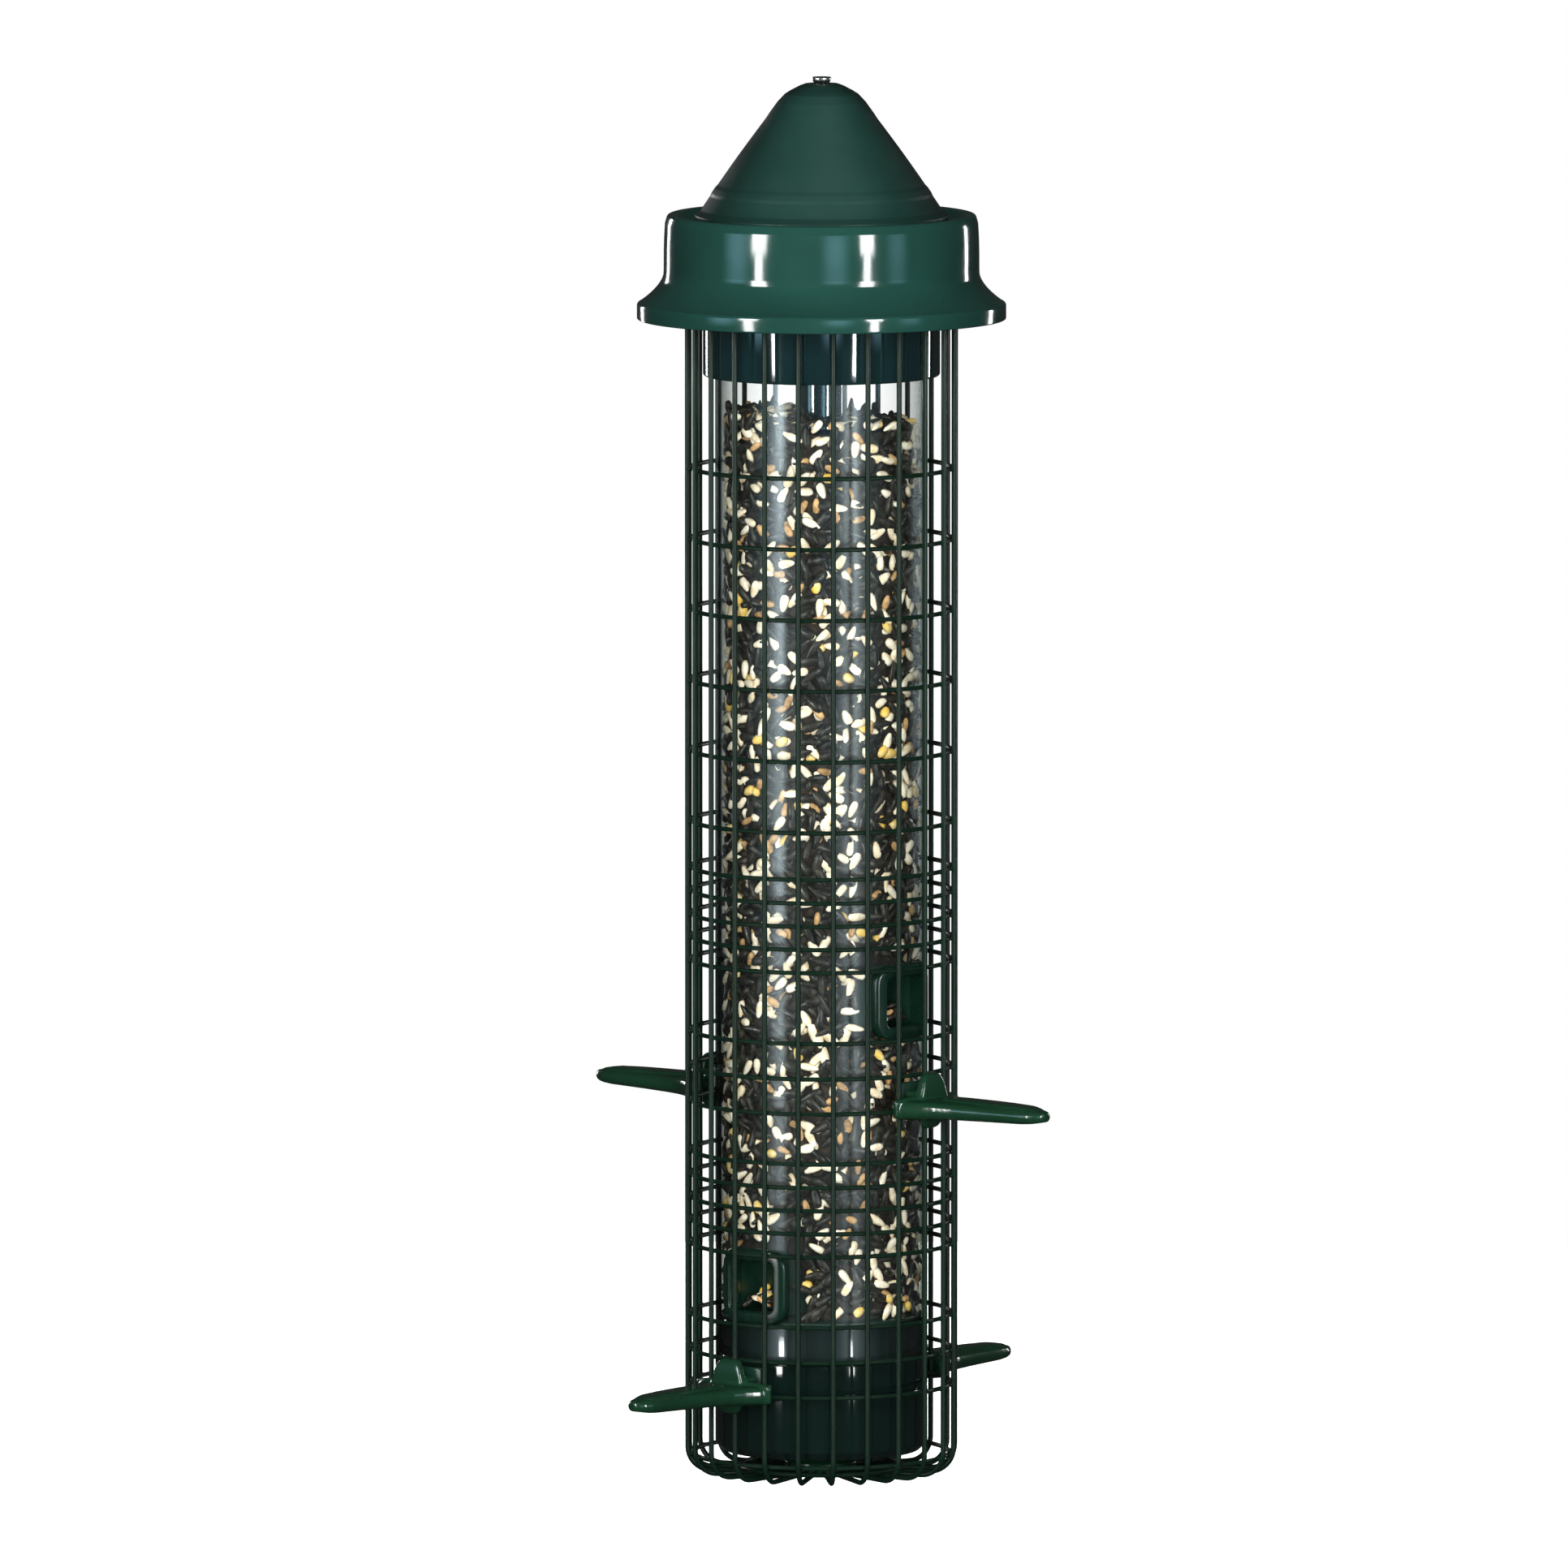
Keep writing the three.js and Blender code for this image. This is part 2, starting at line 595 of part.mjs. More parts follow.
// The bush guides the rod through the cup's floor and seats the spring on its upper end.
function guideBush() {
  const bore = ROD_RADIUS + ROD_CLEARANCE;
  return turned(
    [
      [bore, BUSH_BOTTOM],
      [BUSH_RADIUS, BUSH_BOTTOM],
      [BUSH_RADIUS, FLANGE_BOTTOM],
      [BUSH_FLANGE_RADIUS, FLANGE_BOTTOM],
      [BUSH_FLANGE_RADIUS, FLANGE_TOP],
      [BUSH_RADIUS, FLANGE_TOP],
      [BUSH_RADIUS, SPRING_SEAT],
      [bore, SPRING_SEAT],
    ],
    24,
  );
}
addPiece("guide_bush", guideBush(), DARK_GREEN, 0.5);

// ---- Cage ---------------------------------------------------------------------------------

// One upright from the top of the cage, round the bottom corner and in along the floor.
function uprightPoints() {
  const bendCentre = [UPRIGHT_CIRCLE - FLOOR_BEND, FLOOR_WIRE_LEVEL + FLOOR_BEND];
  return [
    [UPRIGHT_CIRCLE, UPRIGHT_TOP],
    ...arc(bendCentre, FLOOR_BEND, 0, -90, 4),
    [HUB_RADIUS + GAP, FLOOR_WIRE_LEVEL],
  ].map(([r, z]) => new THREE.Vector3(r, 0, z));
}

// The uprights, joined by the top ring and the floor ring.
function cageUprights() {
  const upright = wire(uprightPoints(), UPRIGHT_WIRE, 6);
  const bite = 0.8; // how far a joining ring sinks into the wires
  const reach = UPRIGHT_WIRE + RING_WIRE - bite;
  let cage = wireRing(UPRIGHT_CIRCLE - reach, RING_WIRE, UPRIGHT_TOP - 4, 5);
  cage = cage.add(wireRing(FLOOR_RING_RADIUS, RING_WIRE, FLOOR_WIRE_LEVEL + reach, 5));
  for (let i = 0; i < UPRIGHT_COUNT; i++) {
    cage = cage.add(upright.rotate([0, 0, (i * 360) / UPRIGHT_COUNT]));
  }
  return cage;
}
addPiece("cage_uprights", cageUprights(), CAGE_GREEN, 0.35, 0.3);

const ringHeights = [
  LOWEST_RING,
  ...TIERS.flatMap((tier) => TIER_RINGS.map((height) => tier.window + height)),
  ...Array.from({ length: TOP_SET_COUNT }, (_, i) => TOP_SET_START + TOP_SET_PITCH * i),
];

// The circle that a ring follows inside the uprights, which is smaller where they bend in.
function ringCircle(height) {
  const below = Math.max(FLOOR_WIRE_LEVEL + FLOOR_BEND - height, 0);
  const reach = FLOOR_BEND - (UPRIGHT_CIRCLE - RING_CIRCLE);
  return UPRIGHT_CIRCLE - FLOOR_BEND + Math.sqrt(reach ** 2 - below ** 2);
}

ringHeights.forEach((height, i) => {
  const number = String(i + 1).padStart(2, "0");
  const ring = wireRing(ringCircle(height), RING_WIRE, height, 4);
  addPiece(`cage_ring_${number}`, ring, CAGE_GREEN, 0.35, 0.3);
});

// The hub closes the middle of the cage floor and hangs on the knob.
function cageHub() {
  const bore = ROD_RADIUS + ROD_CLEARANCE;
  const recess = KNOB_RADIUS + 0.6;
  const roof = KNOB_HEIGHT + 2 * GAP;
  return turned(
    [
      [recess, 0],
      [HUB_RADIUS, 0],
      [HUB_RADIUS, HUB_HEIGHT - 1.5],
      [HUB_RADIUS - 1.5, HUB_HEIGHT],
      [bore, HUB_HEIGHT],
      [bore, roof],
      [recess, roof],
    ],
    24,
  );
}
addPiece("cage_hub", cageHub(), CAGE_GREEN, 0.5);

// The knob has a lobed edge and a blind bore for the rod's end.
function adjustKnob() {
  const lobes = 8;
  const edge = Array.from({ length: lobes * 4 }, (_, i) => {
    const angle = (i / (lobes * 4)) * 2 * Math.PI;
    const radius = KNOB_RADIUS - 0.5 + 0.5 * Math.cos(lobes * angle);
    return [radius * Math.cos(angle), radius * Math.sin(angle)];
  });
  const bore = bar(ROD_RADIUS + GAP, ROD_BOTTOM - GAP, KNOB_HEIGHT + 5);
  return raised(edge, GAP, GAP + KNOB_HEIGHT).subtract(bore);
}
addPiece("adjust_knob", adjustKnob(), BRASS, 0.5);

// ---- Perches ------------------------------------------------------------------------------

// The perch's tongue, seen from above: wide at the root, tapering to a round tip.
function tongueOutline() {
  const root = PAD_INSIDE + 1;
  const tipRadius = PERCH_TIP_WIDTH / 2;
  const side = [
    [root, PERCH_ROOT_WIDTH / 2],
    [root + 5, PERCH_ROOT_WIDTH / 2 - 2.2],
    [root + 13, PERCH_ROOT_WIDTH / 2 - 4],
  ];
  return [
    ...side.map(([x, y]) => [x, -y]),
    ...arc([PERCH_TIP_RADIUS - tipRadius, 0], tipRadius, -80, 80, 6),
    ...side.slice().reverse(),
  ];
}

// Part of a ring, centred on +X.
function sector(inner, outer, bottom, top, halfAngle) {
  const outline = [
    ...arc([0, 0], outer, -halfAngle, halfAngle, 6),
    ...arc([0, 0], inner, halfAngle, -halfAngle, 6),
  ];
  return raised(outline, bottom, top);
}

function perch(middle) {
  const bottom = middle - PERCH_THICKNESS / 2;
  const padOutside = PAD_INSIDE + PAD_THICKNESS;
  let body = raised(tongueOutline(), bottom, bottom + PERCH_THICKNESS);
  const padBottom = middle - PAD_HEIGHT / 2;
  body = body.add(sector(PAD_INSIDE, padOutside, padBottom, padBottom + PAD_HEIGHT, PAD_HALF_ANGLE));
  const post = block(
    [PAD_INSIDE - 1, -POST_WIDTH / 2, middle - POST_BELOW],
    [padOutside + 0.8, POST_WIDTH / 2, middle + POST_ABOVE],
  ).subtract(bar(PAD_INSIDE, middle - 30, middle + 30, 120));
  body = body.add(post);
  const pegStart = Math.sqrt(CLIP_OUTSIDE ** 2 - (PEG_OFFSET - PEG_RADIUS) ** 2) + GAP;
  const pegEnd = PAD_INSIDE + 1;
  for (const y of [-PEG_OFFSET, PEG_OFFSET]) {
    const peg = new THREE.CylinderGeometry(PEG_RADIUS, PEG_RADIUS, pegEnd - pegStart, 8)
      .rotateZ(Math.PI / 2)
      .translate((pegStart + pegEnd) / 2, y, middle + PEG_ABOVE);
    body = body.add(solid(peg));
  }
  return body;
}

// The keeper plate behind a perch, inside the cage rings.
function perchClip(middle) {
  const outer = CLIP_OUTSIDE;
  const halfAngle = THREE.MathUtils.radToDeg(Math.asin(CLIP_WIDTH / 2 / outer));
  const bottom = middle + PEG_ABOVE - CLIP_HEIGHT / 2;
  return sector(outer - CLIP_THICKNESS, outer, bottom, bottom + CLIP_HEIGHT, halfAngle);
}

for (const tier of TIERS) {
  const middle = tier.window - PERCH_BELOW_WINDOW;
  for (const [side, angle] of tier.sides) {
    addPiece(`perch_${side}`, perch(middle), PERCH_GREEN, 0.3, 0, angle);
    addPiece(`perch_clip_${side}`, perchClip(middle), DARK_GREEN, 0.5, 0, angle);
  }
}

// ---- Lift rod and spring ------------------------------------------------------------------

addPiece("lift_rod", bar(ROD_RADIUS, ROD_BOTTOM, ROD_TOP, 12), STEEL, 0.35, 1);

// A flanged nut holds the spring down.
const nutFlange = sleeve(ROD_RADIUS + GAP, NUT_FLANGE_RADIUS, NUT_BOTTOM, NUT_BOTTOM + NUT_FLANGE, 20);
addPiece("rod_nut", nut(NUT_RADIUS, ROD_RADIUS + GAP, NUT_BOTTOM, NUT_TOP).add(nutFlange), STEEL, 0.3, 1);

// The spring is an open helix between the bush and the nut.
function liftSpring() {
  const stepsPerTurn = 10;
  const count = SPRING_TURNS * stepsPerTurn;
  const rise = SPRING_LENGTH - 2 * SPRING_WIRE;
  const points = Array.from({ length: count + 1 }, (_, i) => {
    const angle = (i / stepsPerTurn) * 2 * Math.PI;
    const z = SPRING_BOTTOM + SPRING_WIRE + (rise * i) / count;
    return new THREE.Vector3(SPRING_MEAN_RADIUS * Math.cos(angle), SPRING_MEAN_RADIUS * Math.sin(angle), z);
  });
  return wire(points, SPRING_WIRE, 4);
}
addPiece("lift_spring", liftSpring(), STEEL, 0.35, 1);

export default feeder;
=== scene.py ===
import math

import bmesh
import bpy
import numpy as np
from mathutils import Matrix, Vector


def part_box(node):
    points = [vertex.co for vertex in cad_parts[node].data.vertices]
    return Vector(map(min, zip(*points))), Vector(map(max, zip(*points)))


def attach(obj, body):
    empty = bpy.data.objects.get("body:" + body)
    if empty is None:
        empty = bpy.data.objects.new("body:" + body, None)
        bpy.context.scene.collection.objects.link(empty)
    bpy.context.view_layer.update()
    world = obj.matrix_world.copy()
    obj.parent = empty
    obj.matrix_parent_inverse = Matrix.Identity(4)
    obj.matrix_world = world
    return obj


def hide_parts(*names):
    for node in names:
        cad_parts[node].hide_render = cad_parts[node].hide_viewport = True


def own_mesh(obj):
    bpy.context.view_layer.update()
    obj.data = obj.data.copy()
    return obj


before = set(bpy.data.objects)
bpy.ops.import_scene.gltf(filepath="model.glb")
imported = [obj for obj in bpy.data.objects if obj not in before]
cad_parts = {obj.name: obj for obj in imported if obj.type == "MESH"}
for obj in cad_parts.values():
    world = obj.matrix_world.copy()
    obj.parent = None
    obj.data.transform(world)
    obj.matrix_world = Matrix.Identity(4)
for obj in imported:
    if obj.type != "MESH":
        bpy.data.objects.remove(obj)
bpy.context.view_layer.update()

bl_info = {
    "name": "Tube bird feeder in a sprung cage",
    "version": (1, 0, 0),
    "blender": (4, 5, 0),
    "location": "3D View > Sidebar > Feeder",
    "description": "Builds the hood, seed tube, cage, perches and seed of a hanging feeder",
    "category": "Object",
}

MM = 0.001
TURN = 2 * math.pi

# Each node's lowest and highest corners, in millimetres.
EXTENT = {name: [[part / MM for part in corner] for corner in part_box(name)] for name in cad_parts}


def low(node):
    """The height of a node's lowest place."""
    return EXTENT[node][0][2]


def high(node, axis=2):
    """A node's highest place along an axis."""
    return EXTENT[node][1][axis]


PORTS = {"front": 270, "rear": 90, "right": 0, "left": 180}  # side: its angle about Z, degrees
UPRIGHTS = 24
UPRIGHT_CIRCLE = 55.6           # radius of the circle that the uprights stand on
TUBE_RADIUS, TUBE_BORE = 44.0, 42.0
WINDOW_WIDTH, WINDOW_HEIGHT = 26.0, 24.0
PEGS = (-7.2, 7.2)              # how far a perch's two pegs stand to each side of its middle


# ---- Mesh helpers -------------------------------------------------------------------------

def filleted(corners, steps=5):
    """Round the corners of a closed outline of (radius, height, fillet) points."""
    rounded = []
    for i, (r, z, fillet) in enumerate(corners):
        corner = Vector((r, z))
        if not fillet:
            rounded.append((r, z))
            continue
        before = Vector(corners[i - 1][:2]) - corner
        after = Vector(corners[(i + 1) % len(corners)][:2]) - corner
        half = before.angle(after) / 2
        cut = min(fillet / math.tan(half), 0.48 * before.length, 0.48 * after.length)
        radius = cut * math.tan(half)
        middle = corner + (before.normalized() + after.normalized()).normalized() * (radius / math.sin(half))
        start = corner + before.normalized() * cut - middle
        end = corner + after.normalized() * cut - middle
        swing = start.angle_signed(end)
        for step in range(steps + 1):
            turned_by = Matrix.Rotation(-swing * step / steps, 2)
            rounded.append(tuple(middle + turned_by @ start))
    return rounded


def finished(mesh, name, material, sharp=35):
    """Turn a mesh in millimetres into a smooth-shaded object in metres."""
    work = bmesh.new()
    work.from_mesh(mesh)
    bmesh.ops.recalc_face_normals(work, faces=work.faces)
    work.to_mesh(mesh)
    work.free()
    mesh.transform(Matrix.Scale(MM, 4))
    mesh.shade_smooth()
    mesh.set_sharp_from_angle(angle=math.radians(sharp))
    piece = bpy.data.objects.new(name, mesh)
    piece.data.materials.append(material)
    bpy.context.scene.collection.objects.link(piece)
    return piece


def mesh_of(vertices, faces):
    mesh = bpy.data.meshes.new("mesh")
    mesh.from_pydata([tuple(v) for v in vertices], [], faces)
    mesh.validate()
    return mesh


def skin(rings, closed=False):
    """Join rings of equal length into a surface, closed on itself or capped at both ends."""
    count = len(rings[0])
    vertices = [point for ring in rings for point in ring]
    faces = []
    pairs = len(rings) if closed else len(rings) - 1
    for i in range(pairs):
        a, b = i * count, (i + 1) % len(rings) * count
        for j in range(count):
            k = (j + 1) % count
            faces.append((a + j, a + k, b + k, b + j))
    if not closed:
        faces.append(tuple(range(count)))
        faces.append(tuple(reversed(range((len(rings) - 1) * count, len(rings) * count))))
    return vertices, faces


def polar(radius, angle, height):
    """The point at a radius, an angle about Z in radians and a height."""
    return radius * math.cos(angle), radius * math.sin(angle), height


def around(radius, height, segments):
    """Points round a level circle."""
    return [polar(radius, TURN * k / segments, height) for k in range(segments)]


def turned(outline, segments):
    """Turn a closed outline of (radius, height) points about Z; radius 0 makes a pole."""
    vertices, faces, rings = [], [], []
    for r, z in outline:
        if r < 1e-6:
            rings.append([len(vertices)] * segments)
            vertices.append((0, 0, z))
            continue
        rings.append(range(len(vertices), len(vertices) + segments))
        vertices.extend(around(r, z, segments))
    for i, ring in enumerate(rings):
        following = rings[(i + 1) % len(rings)]
        for j in range(segments):
            k = (j + 1) % segments
            corners = list(dict.fromkeys((ring[j], ring[k], following[k], following[j])))
            if len(corners) > 2:
                faces.append(tuple(corners))
    return mesh_of(vertices, faces)


def along(points, radius, sides, closed=False):
    """Rings of a round wire that follows a list of points."""
    path = [Vector(p) for p in points]
    rings, normal = [], None
    for i, point in enumerate(path):
        before = path[i - 1] if closed or i else path[0]
        after = path[(i + 1) % len(path)] if closed or i + 1 < len(path) else path[-1]
        tangent = (after - before).normalized()
        if normal is None:
            normal = tangent.orthogonal().normalized()
        normal = (normal - tangent * normal.dot(tangent)).normalized()
        across = tangent.cross(normal)
        size = radius[i] if isinstance(radius, (list, tuple)) else radius
        rings.append([
            point + size * (math.cos(a) * normal + math.sin(a) * across)
            for a in (TURN * j / sides for j in range(sides))
        ])
    return rings


def gathered(parts):
    """Put several (vertices, faces) lists into one mesh."""
    vertices, faces = [], []
    for some_vertices, some_faces in parts:
        offset = len(vertices)
        vertices.extend(some_vertices)
        faces.extend(tuple(i + offset for i in face) for face in some_faces)
    return mesh_of(vertices, faces)


def spun(part, angle):
    """A (vertices, faces) part turned about Z by an angle in degrees."""
    matrix = Matrix.Rotation(math.radians(angle), 3, "Z")
    return [matrix @ Vector(v) for v in part[0]], part[1]


def applied(piece):
    """The mesh that a piece's modifiers make."""
    graph = bpy.context.evaluated_depsgraph_get()
    return bpy.data.meshes.new_from_object(piece.evaluated_get(graph))


# ---- Materials ----------------------------------------------------------------------------

def linear(hex_colour):
    """The linear colour of an sRGB hex value."""
    parts = [int(hex_colour[i:i + 2], 16) / 255 for i in (1, 3, 5)]
    return [p / 12.92 if p <= 0.04045 else ((p + 0.055) / 1.055) ** 2.4 for p in parts]


def add(tree, kind, inputs=None, stops=(), **settings):
    """Add a node with its settings; an input is a plain value or another node's output.

    Stops are the two (position, colour) pairs of a ramp."""
    node = tree.nodes.new(kind)
    for name, value in settings.items():
        setattr(node, name, value)
    for i, (position, colour) in enumerate(stops):
        node.color_ramp.elements[i].position = position
        node.color_ramp.elements[i].color = colour
    for name, value in (inputs or {}).items():
        if isinstance(value, bpy.types.NodeSocket):
            tree.links.new(value, node.inputs[name])
        else:
            node.inputs[name].default_value = value
    return node


def per_mm(size):
    """The texture scale that repeats a pattern about every so many millimetres."""
    return 1 / (size * MM)


def begin(name):
    """A new material, its empty tree and the place on the object that patterns follow."""
    material = bpy.data.materials.new(name)
    material.use_nodes = True
    tree = material.node_tree
    tree.nodes.clear()
    place = add(tree, "ShaderNodeTexCoord").outputs["Object"]
    return material, tree, place


def shade(colour, times=1.0):
    """A colour made lighter or darker, with its alpha."""
    return (*(min(1.0, part * times) for part in colour), 1.0)


def mottled(tree, place, colour, size, spread):
    """A colour that drifts a little lighter and darker over the surface."""
    drift = add(tree, "ShaderNodeTexNoise", {"Vector": place, "Scale": per_mm(size), "Detail": 4.0})
    return add(tree, "ShaderNodeValToRGB", {"Fac": drift.outputs["Fac"]}, stops=(
        (0.3, shade(colour, 1 - spread)), (0.7, shade(colour, 1 + spread)))).outputs["Color"]


def varied(tree, place, size, least, most):
    """A number that wanders between two values over the surface."""
    drift = add(tree, "ShaderNodeTexNoise", {"Vector": place, "Scale": per_mm(size), "Detail": 3.0})
    return add(tree, "ShaderNodeMapRange", {
        "Value": drift.outputs["Fac"], "From Min": 0.35, "From Max": 0.65, "To Min": least, "To Max": most,
    }).outputs["Result"]


def relief(tree, place, size, depth_mm, detail=2.0, under=None):
    """A fine bump of a real size and depth, over another bump if one is given."""
    grain = add(tree, "ShaderNodeTexNoise", {"Vector": place, "Scale": per_mm(size), "Detail": detail})
    inputs = {"Height": grain.outputs["Fac"], "Strength": 1.0, "Distance": depth_mm * MM}
    if under is not None:
        inputs["Normal"] = under
    return add(tree, "ShaderNodeBump", inputs).outputs["Normal"]


def moulded(name, colour, roughness, ior, grain, depth, spread=0.08, wave=0.0, sheen=0.5, painted_falloff=0.0):
    """A moulded plastic: drifting pigment, uneven roughness and the grain of the mould.

    The falloff darkens the pigment where the surface turns away from the view, as painted shade. Grain and depth are
    the size and height of the mould's texture, and wave the height of the slow shrinkage waves."""
    material, tree, place = begin(name)
    # Painted shade: the pigment is darkened where the surface turns away from the view.
    facing = add(tree, "ShaderNodeLayerWeight", {"Blend": 0.5})
    painted_shade = add(tree, "ShaderNodeMapRange", {
        "Value": facing.outputs["Facing"], "To Min": 1.0, "To Max": 1.0 - painted_falloff})
    pigment = add(tree, "ShaderNodeVectorMath", {
        0: mottled(tree, place, colour, 26, spread), "Scale": painted_shade.outputs["Result"]}, operation="SCALE")
    waves = relief(tree, place, 38, wave, detail=1.0) if wave else None
    surface = add(tree, "ShaderNodeBsdfPrincipled", {
        "Base Color": pigment.outputs["Vector"],
        "Roughness": varied(tree, place, 14, roughness * 0.85, roughness * 1.2),
        "IOR": ior,
        "Specular IOR Level": sheen,
        "Normal": relief(tree, place, grain, depth, under=waves),
    })
    add(tree, "ShaderNodeOutputMaterial", {"Surface": surface.outputs["BSDF"]})
    return material


def metal(name, colour, roughness, size, stretch=(1.0, 1.0, 1.0)):
    """A plated or drawn metal with a fine grain, stretched along the way it was drawn."""
    material, tree, place = begin(name)
    drawn = add(tree, "ShaderNodeMapping", {"Vector": place, "Scale": stretch}).outputs["Vector"]
    surface = add(tree, "ShaderNodeBsdfPrincipled", {
        "Base Color": mottled(tree, drawn, colour, size * 4, 0.12),
        "Metallic": 1.0,
        "Roughness": varied(tree, drawn, size, roughness * 0.8, roughness * 1.25),
        "Normal": relief(tree, drawn, size, 0.01),
    })
    add(tree, "ShaderNodeOutputMaterial", {"Surface": surface.outputs["BSDF"]})
    return material


def clear_plastic(name, tint, edge, dust):
    """Thin clear plastic: straight through, tinted where the wall is seen edge on, with a soft shine."""
    material, tree, place = begin(name)
    facing = add(tree, "ShaderNodeLayerWeight", {"Blend": 0.5})
    steep = add(tree, "ShaderNodeMath", {0: facing.outputs["Facing"], 1: 2.5}, operation="POWER")
    through = add(tree, "ShaderNodeBsdfTransparent", {"Color": (*tint, 1.0)})
    wall = add(tree, "ShaderNodeBsdfTransparent", {"Color": (*edge, 1.0)})
    clear = add(tree, "ShaderNodeMixShader", {
        0: steep.outputs["Value"], 1: through.outputs["BSDF"], 2: wall.outputs["BSDF"]})
    shine = add(tree, "ShaderNodeBsdfAnisotropic", {
        "Color": (0.022, 0.027, 0.029, 1.0), "Roughness": varied(tree, place, 60, 0.24, 0.34)})
    glossy = add(tree, "ShaderNodeAddShader", {0: clear.outputs["Shader"], 1: shine.outputs["BSDF"]})
    haze = add(tree, "ShaderNodeBsdfDiffuse", {"Color": (*dust, 1.0)})
    film = varied(tree, place, 22, 0.0, 0.003)
    surface = add(tree, "ShaderNodeMixShader", {
        0: film, 1: glossy.outputs["Shader"], 2: haze.outputs["BSDF"]})
    add(tree, "ShaderNodeOutputMaterial", {"Surface": surface.outputs["Shader"]})
    return material


def seed_skin(name, colour, other, size, roughness):
    """A seed's skin, with streaks of a second colour and a dry waxy surface."""
    material, tree, place = begin(name)
    streak = add(tree, "ShaderNodeTexNoise", {
        "Vector": place, "Scale": per_mm(size), "Detail": 5.0, "Roughness": 0.65})
    streaked = add(tree, "ShaderNodeValToRGB", {"Fac": streak.outputs["Fac"]}, stops=(
        (0.42, shade(colour)), (0.68, shade(other))))
    surface = add(tree, "ShaderNodeBsdfPrincipled", {
        "Base Color": streaked.outputs["Color"],
        "Roughness": varied(tree, place, 5, roughness * 0.8, roughness * 1.2),
        "IOR": 1.46,
        "Normal": relief(tree, place, 1.2, 0.12),
    })
    add(tree, "ShaderNodeOutputMaterial", {"Surface": surface.outputs["BSDF"]})
    return material


# ---- Settings -----------------------------------------------------------------------------

def length(name, default_mm, description):
    return bpy.props.FloatProperty(
        name=name, default=default_mm * MM, description=description, unit="LENGTH", min=0.0, precision=5)


def paint(name, hex_colour, description):
    return bpy.props.FloatVectorProperty(
        name=name, default=linear(hex_colour), description=description, subtype="COLOR", min=0.0, max=1.0)


def factor(name, default, description, most=1.0):
    return bpy.props.FloatProperty(
        name=name, default=default, description=description, subtype="FACTOR", min=0.0, max=most)


def power(name, default, description):
    return bpy.props.FloatProperty(name=name, default=default, description=description, unit="POWER")


def degrees(name, default, description):
    return bpy.props.FloatProperty(
        name=name, default=math.radians(default), description=description, subtype="ANGLE")


class FeederColours(bpy.types.PropertyGroup):
    """Colours of the feeder's plastics, coatings and metals."""
    hood: paint("Hood", "#193b34", "Gloss green of the hood")
    roof: paint("Roof cap", "#1a3731", "Satin green of the roof cap")
    perch: paint("Perches", "#11301f", "Green of the perches and port frames")
    wire: paint("Cage coating", "#0a1c13", "Green powder coat of the cage wire")
    dark: paint("Collar", "#0e2325", "Blue-green of the collar and centre tube")
    cup: paint("Base cup", "#0a1714", "Near-black green of the base cup")
    inner: paint("Inner parts", "#102a20", "Dark green of the inner mouldings")
    bezel: paint("Port frames", "#0a2219", "Dark green of the port frames")
    brass: paint("Knob", "#a88c4a", "Adjusting knob")
    steel: paint("Steel", "#c4c6c4", "Zinc-plated steel")
    spring: paint("Spring", "#9fa1a2", "Drawn spring steel")


class FeederSizes(bpy.types.PropertyGroup):
    """Sizes of the visible pieces that do not change the frame."""
    upright_wire: length("Upright wire radius", 1.1, "Radius of the coated upright wires")
    ring_wire: length("Ring wire radius", 0.95, "Radius of the coated ring wires")
    weld: length("Weld radius", 1.5, "Radius of the coating that gathers at a crossing")
    roof_bead: length("Roof bead", 0.35, "How far the bead near the eave stands proud")
    perch_rib: length("Perch rib", 1.3, "Height of the raised rib along a perch")
    perch_voxel: length("Perch fineness", 0.6, "Size of the voxels that blend a perch together")


class FeederSeed(bpy.types.PropertyGroup):
    """The seed mix in the tube."""
    husk: paint("Sunflower husk", "#0e0f0a", "Dark husk of an oil sunflower seed")
    husk_streak: paint("Husk streak", "#3a3529", "Pale streaks on the husk")
    heart: paint("Sunflower heart", "#fff8e0", "Cream hulled kernel")
    grain: paint("Grain", "#cfa770", "Tan grain")
    maize: paint("Maize", "#ecc251", "Yellow cut maize")
    pitch: length("Seed pitch", 5.7, "Distance between neighbouring seeds against the tube")
    number: bpy.props.IntProperty(name="Shake", default=7, description="Number that sets how the seed lies")


class FeederStage(bpy.types.PropertyGroup):
    """Camera, lights and floor."""
    azimuth: degrees("Camera azimuth", 40, "Angle of the camera about the feeder")
    elevation: degrees("Camera elevation", 6, "Angle of the camera above level")
    distance: length("Camera distance", 10000, "Distance from the feeder to the camera")
    view_width: length("View width", 649, "Width of what the camera sees at the feeder")
    floor_drop: length("Floor", 90, "Depth of the floor below the cage")
    key: power("Key light", 24, "Power of the highlight lamps")
    fill: power("Fill light", 17, "Power of the rim lamps and panels")
    front: power("Front light", 185, "Power of the front softbox")
    room: factor("Room light", 0.16, "Light that reaches matt surfaces from all round", 4.0)
    gleam: factor("Room gleam", 0.03, "Light that gloss surfaces reflect from the room", 4.0)


# ---- Finishes -----------------------------------------------------------------------------

FINISH = {}

# How strongly each plastic bends light.
POLYPROPYLENE, ABS, NYLON, ACETAL, POLYESTER = 1.49, 1.54, 1.53, 1.48, 1.5


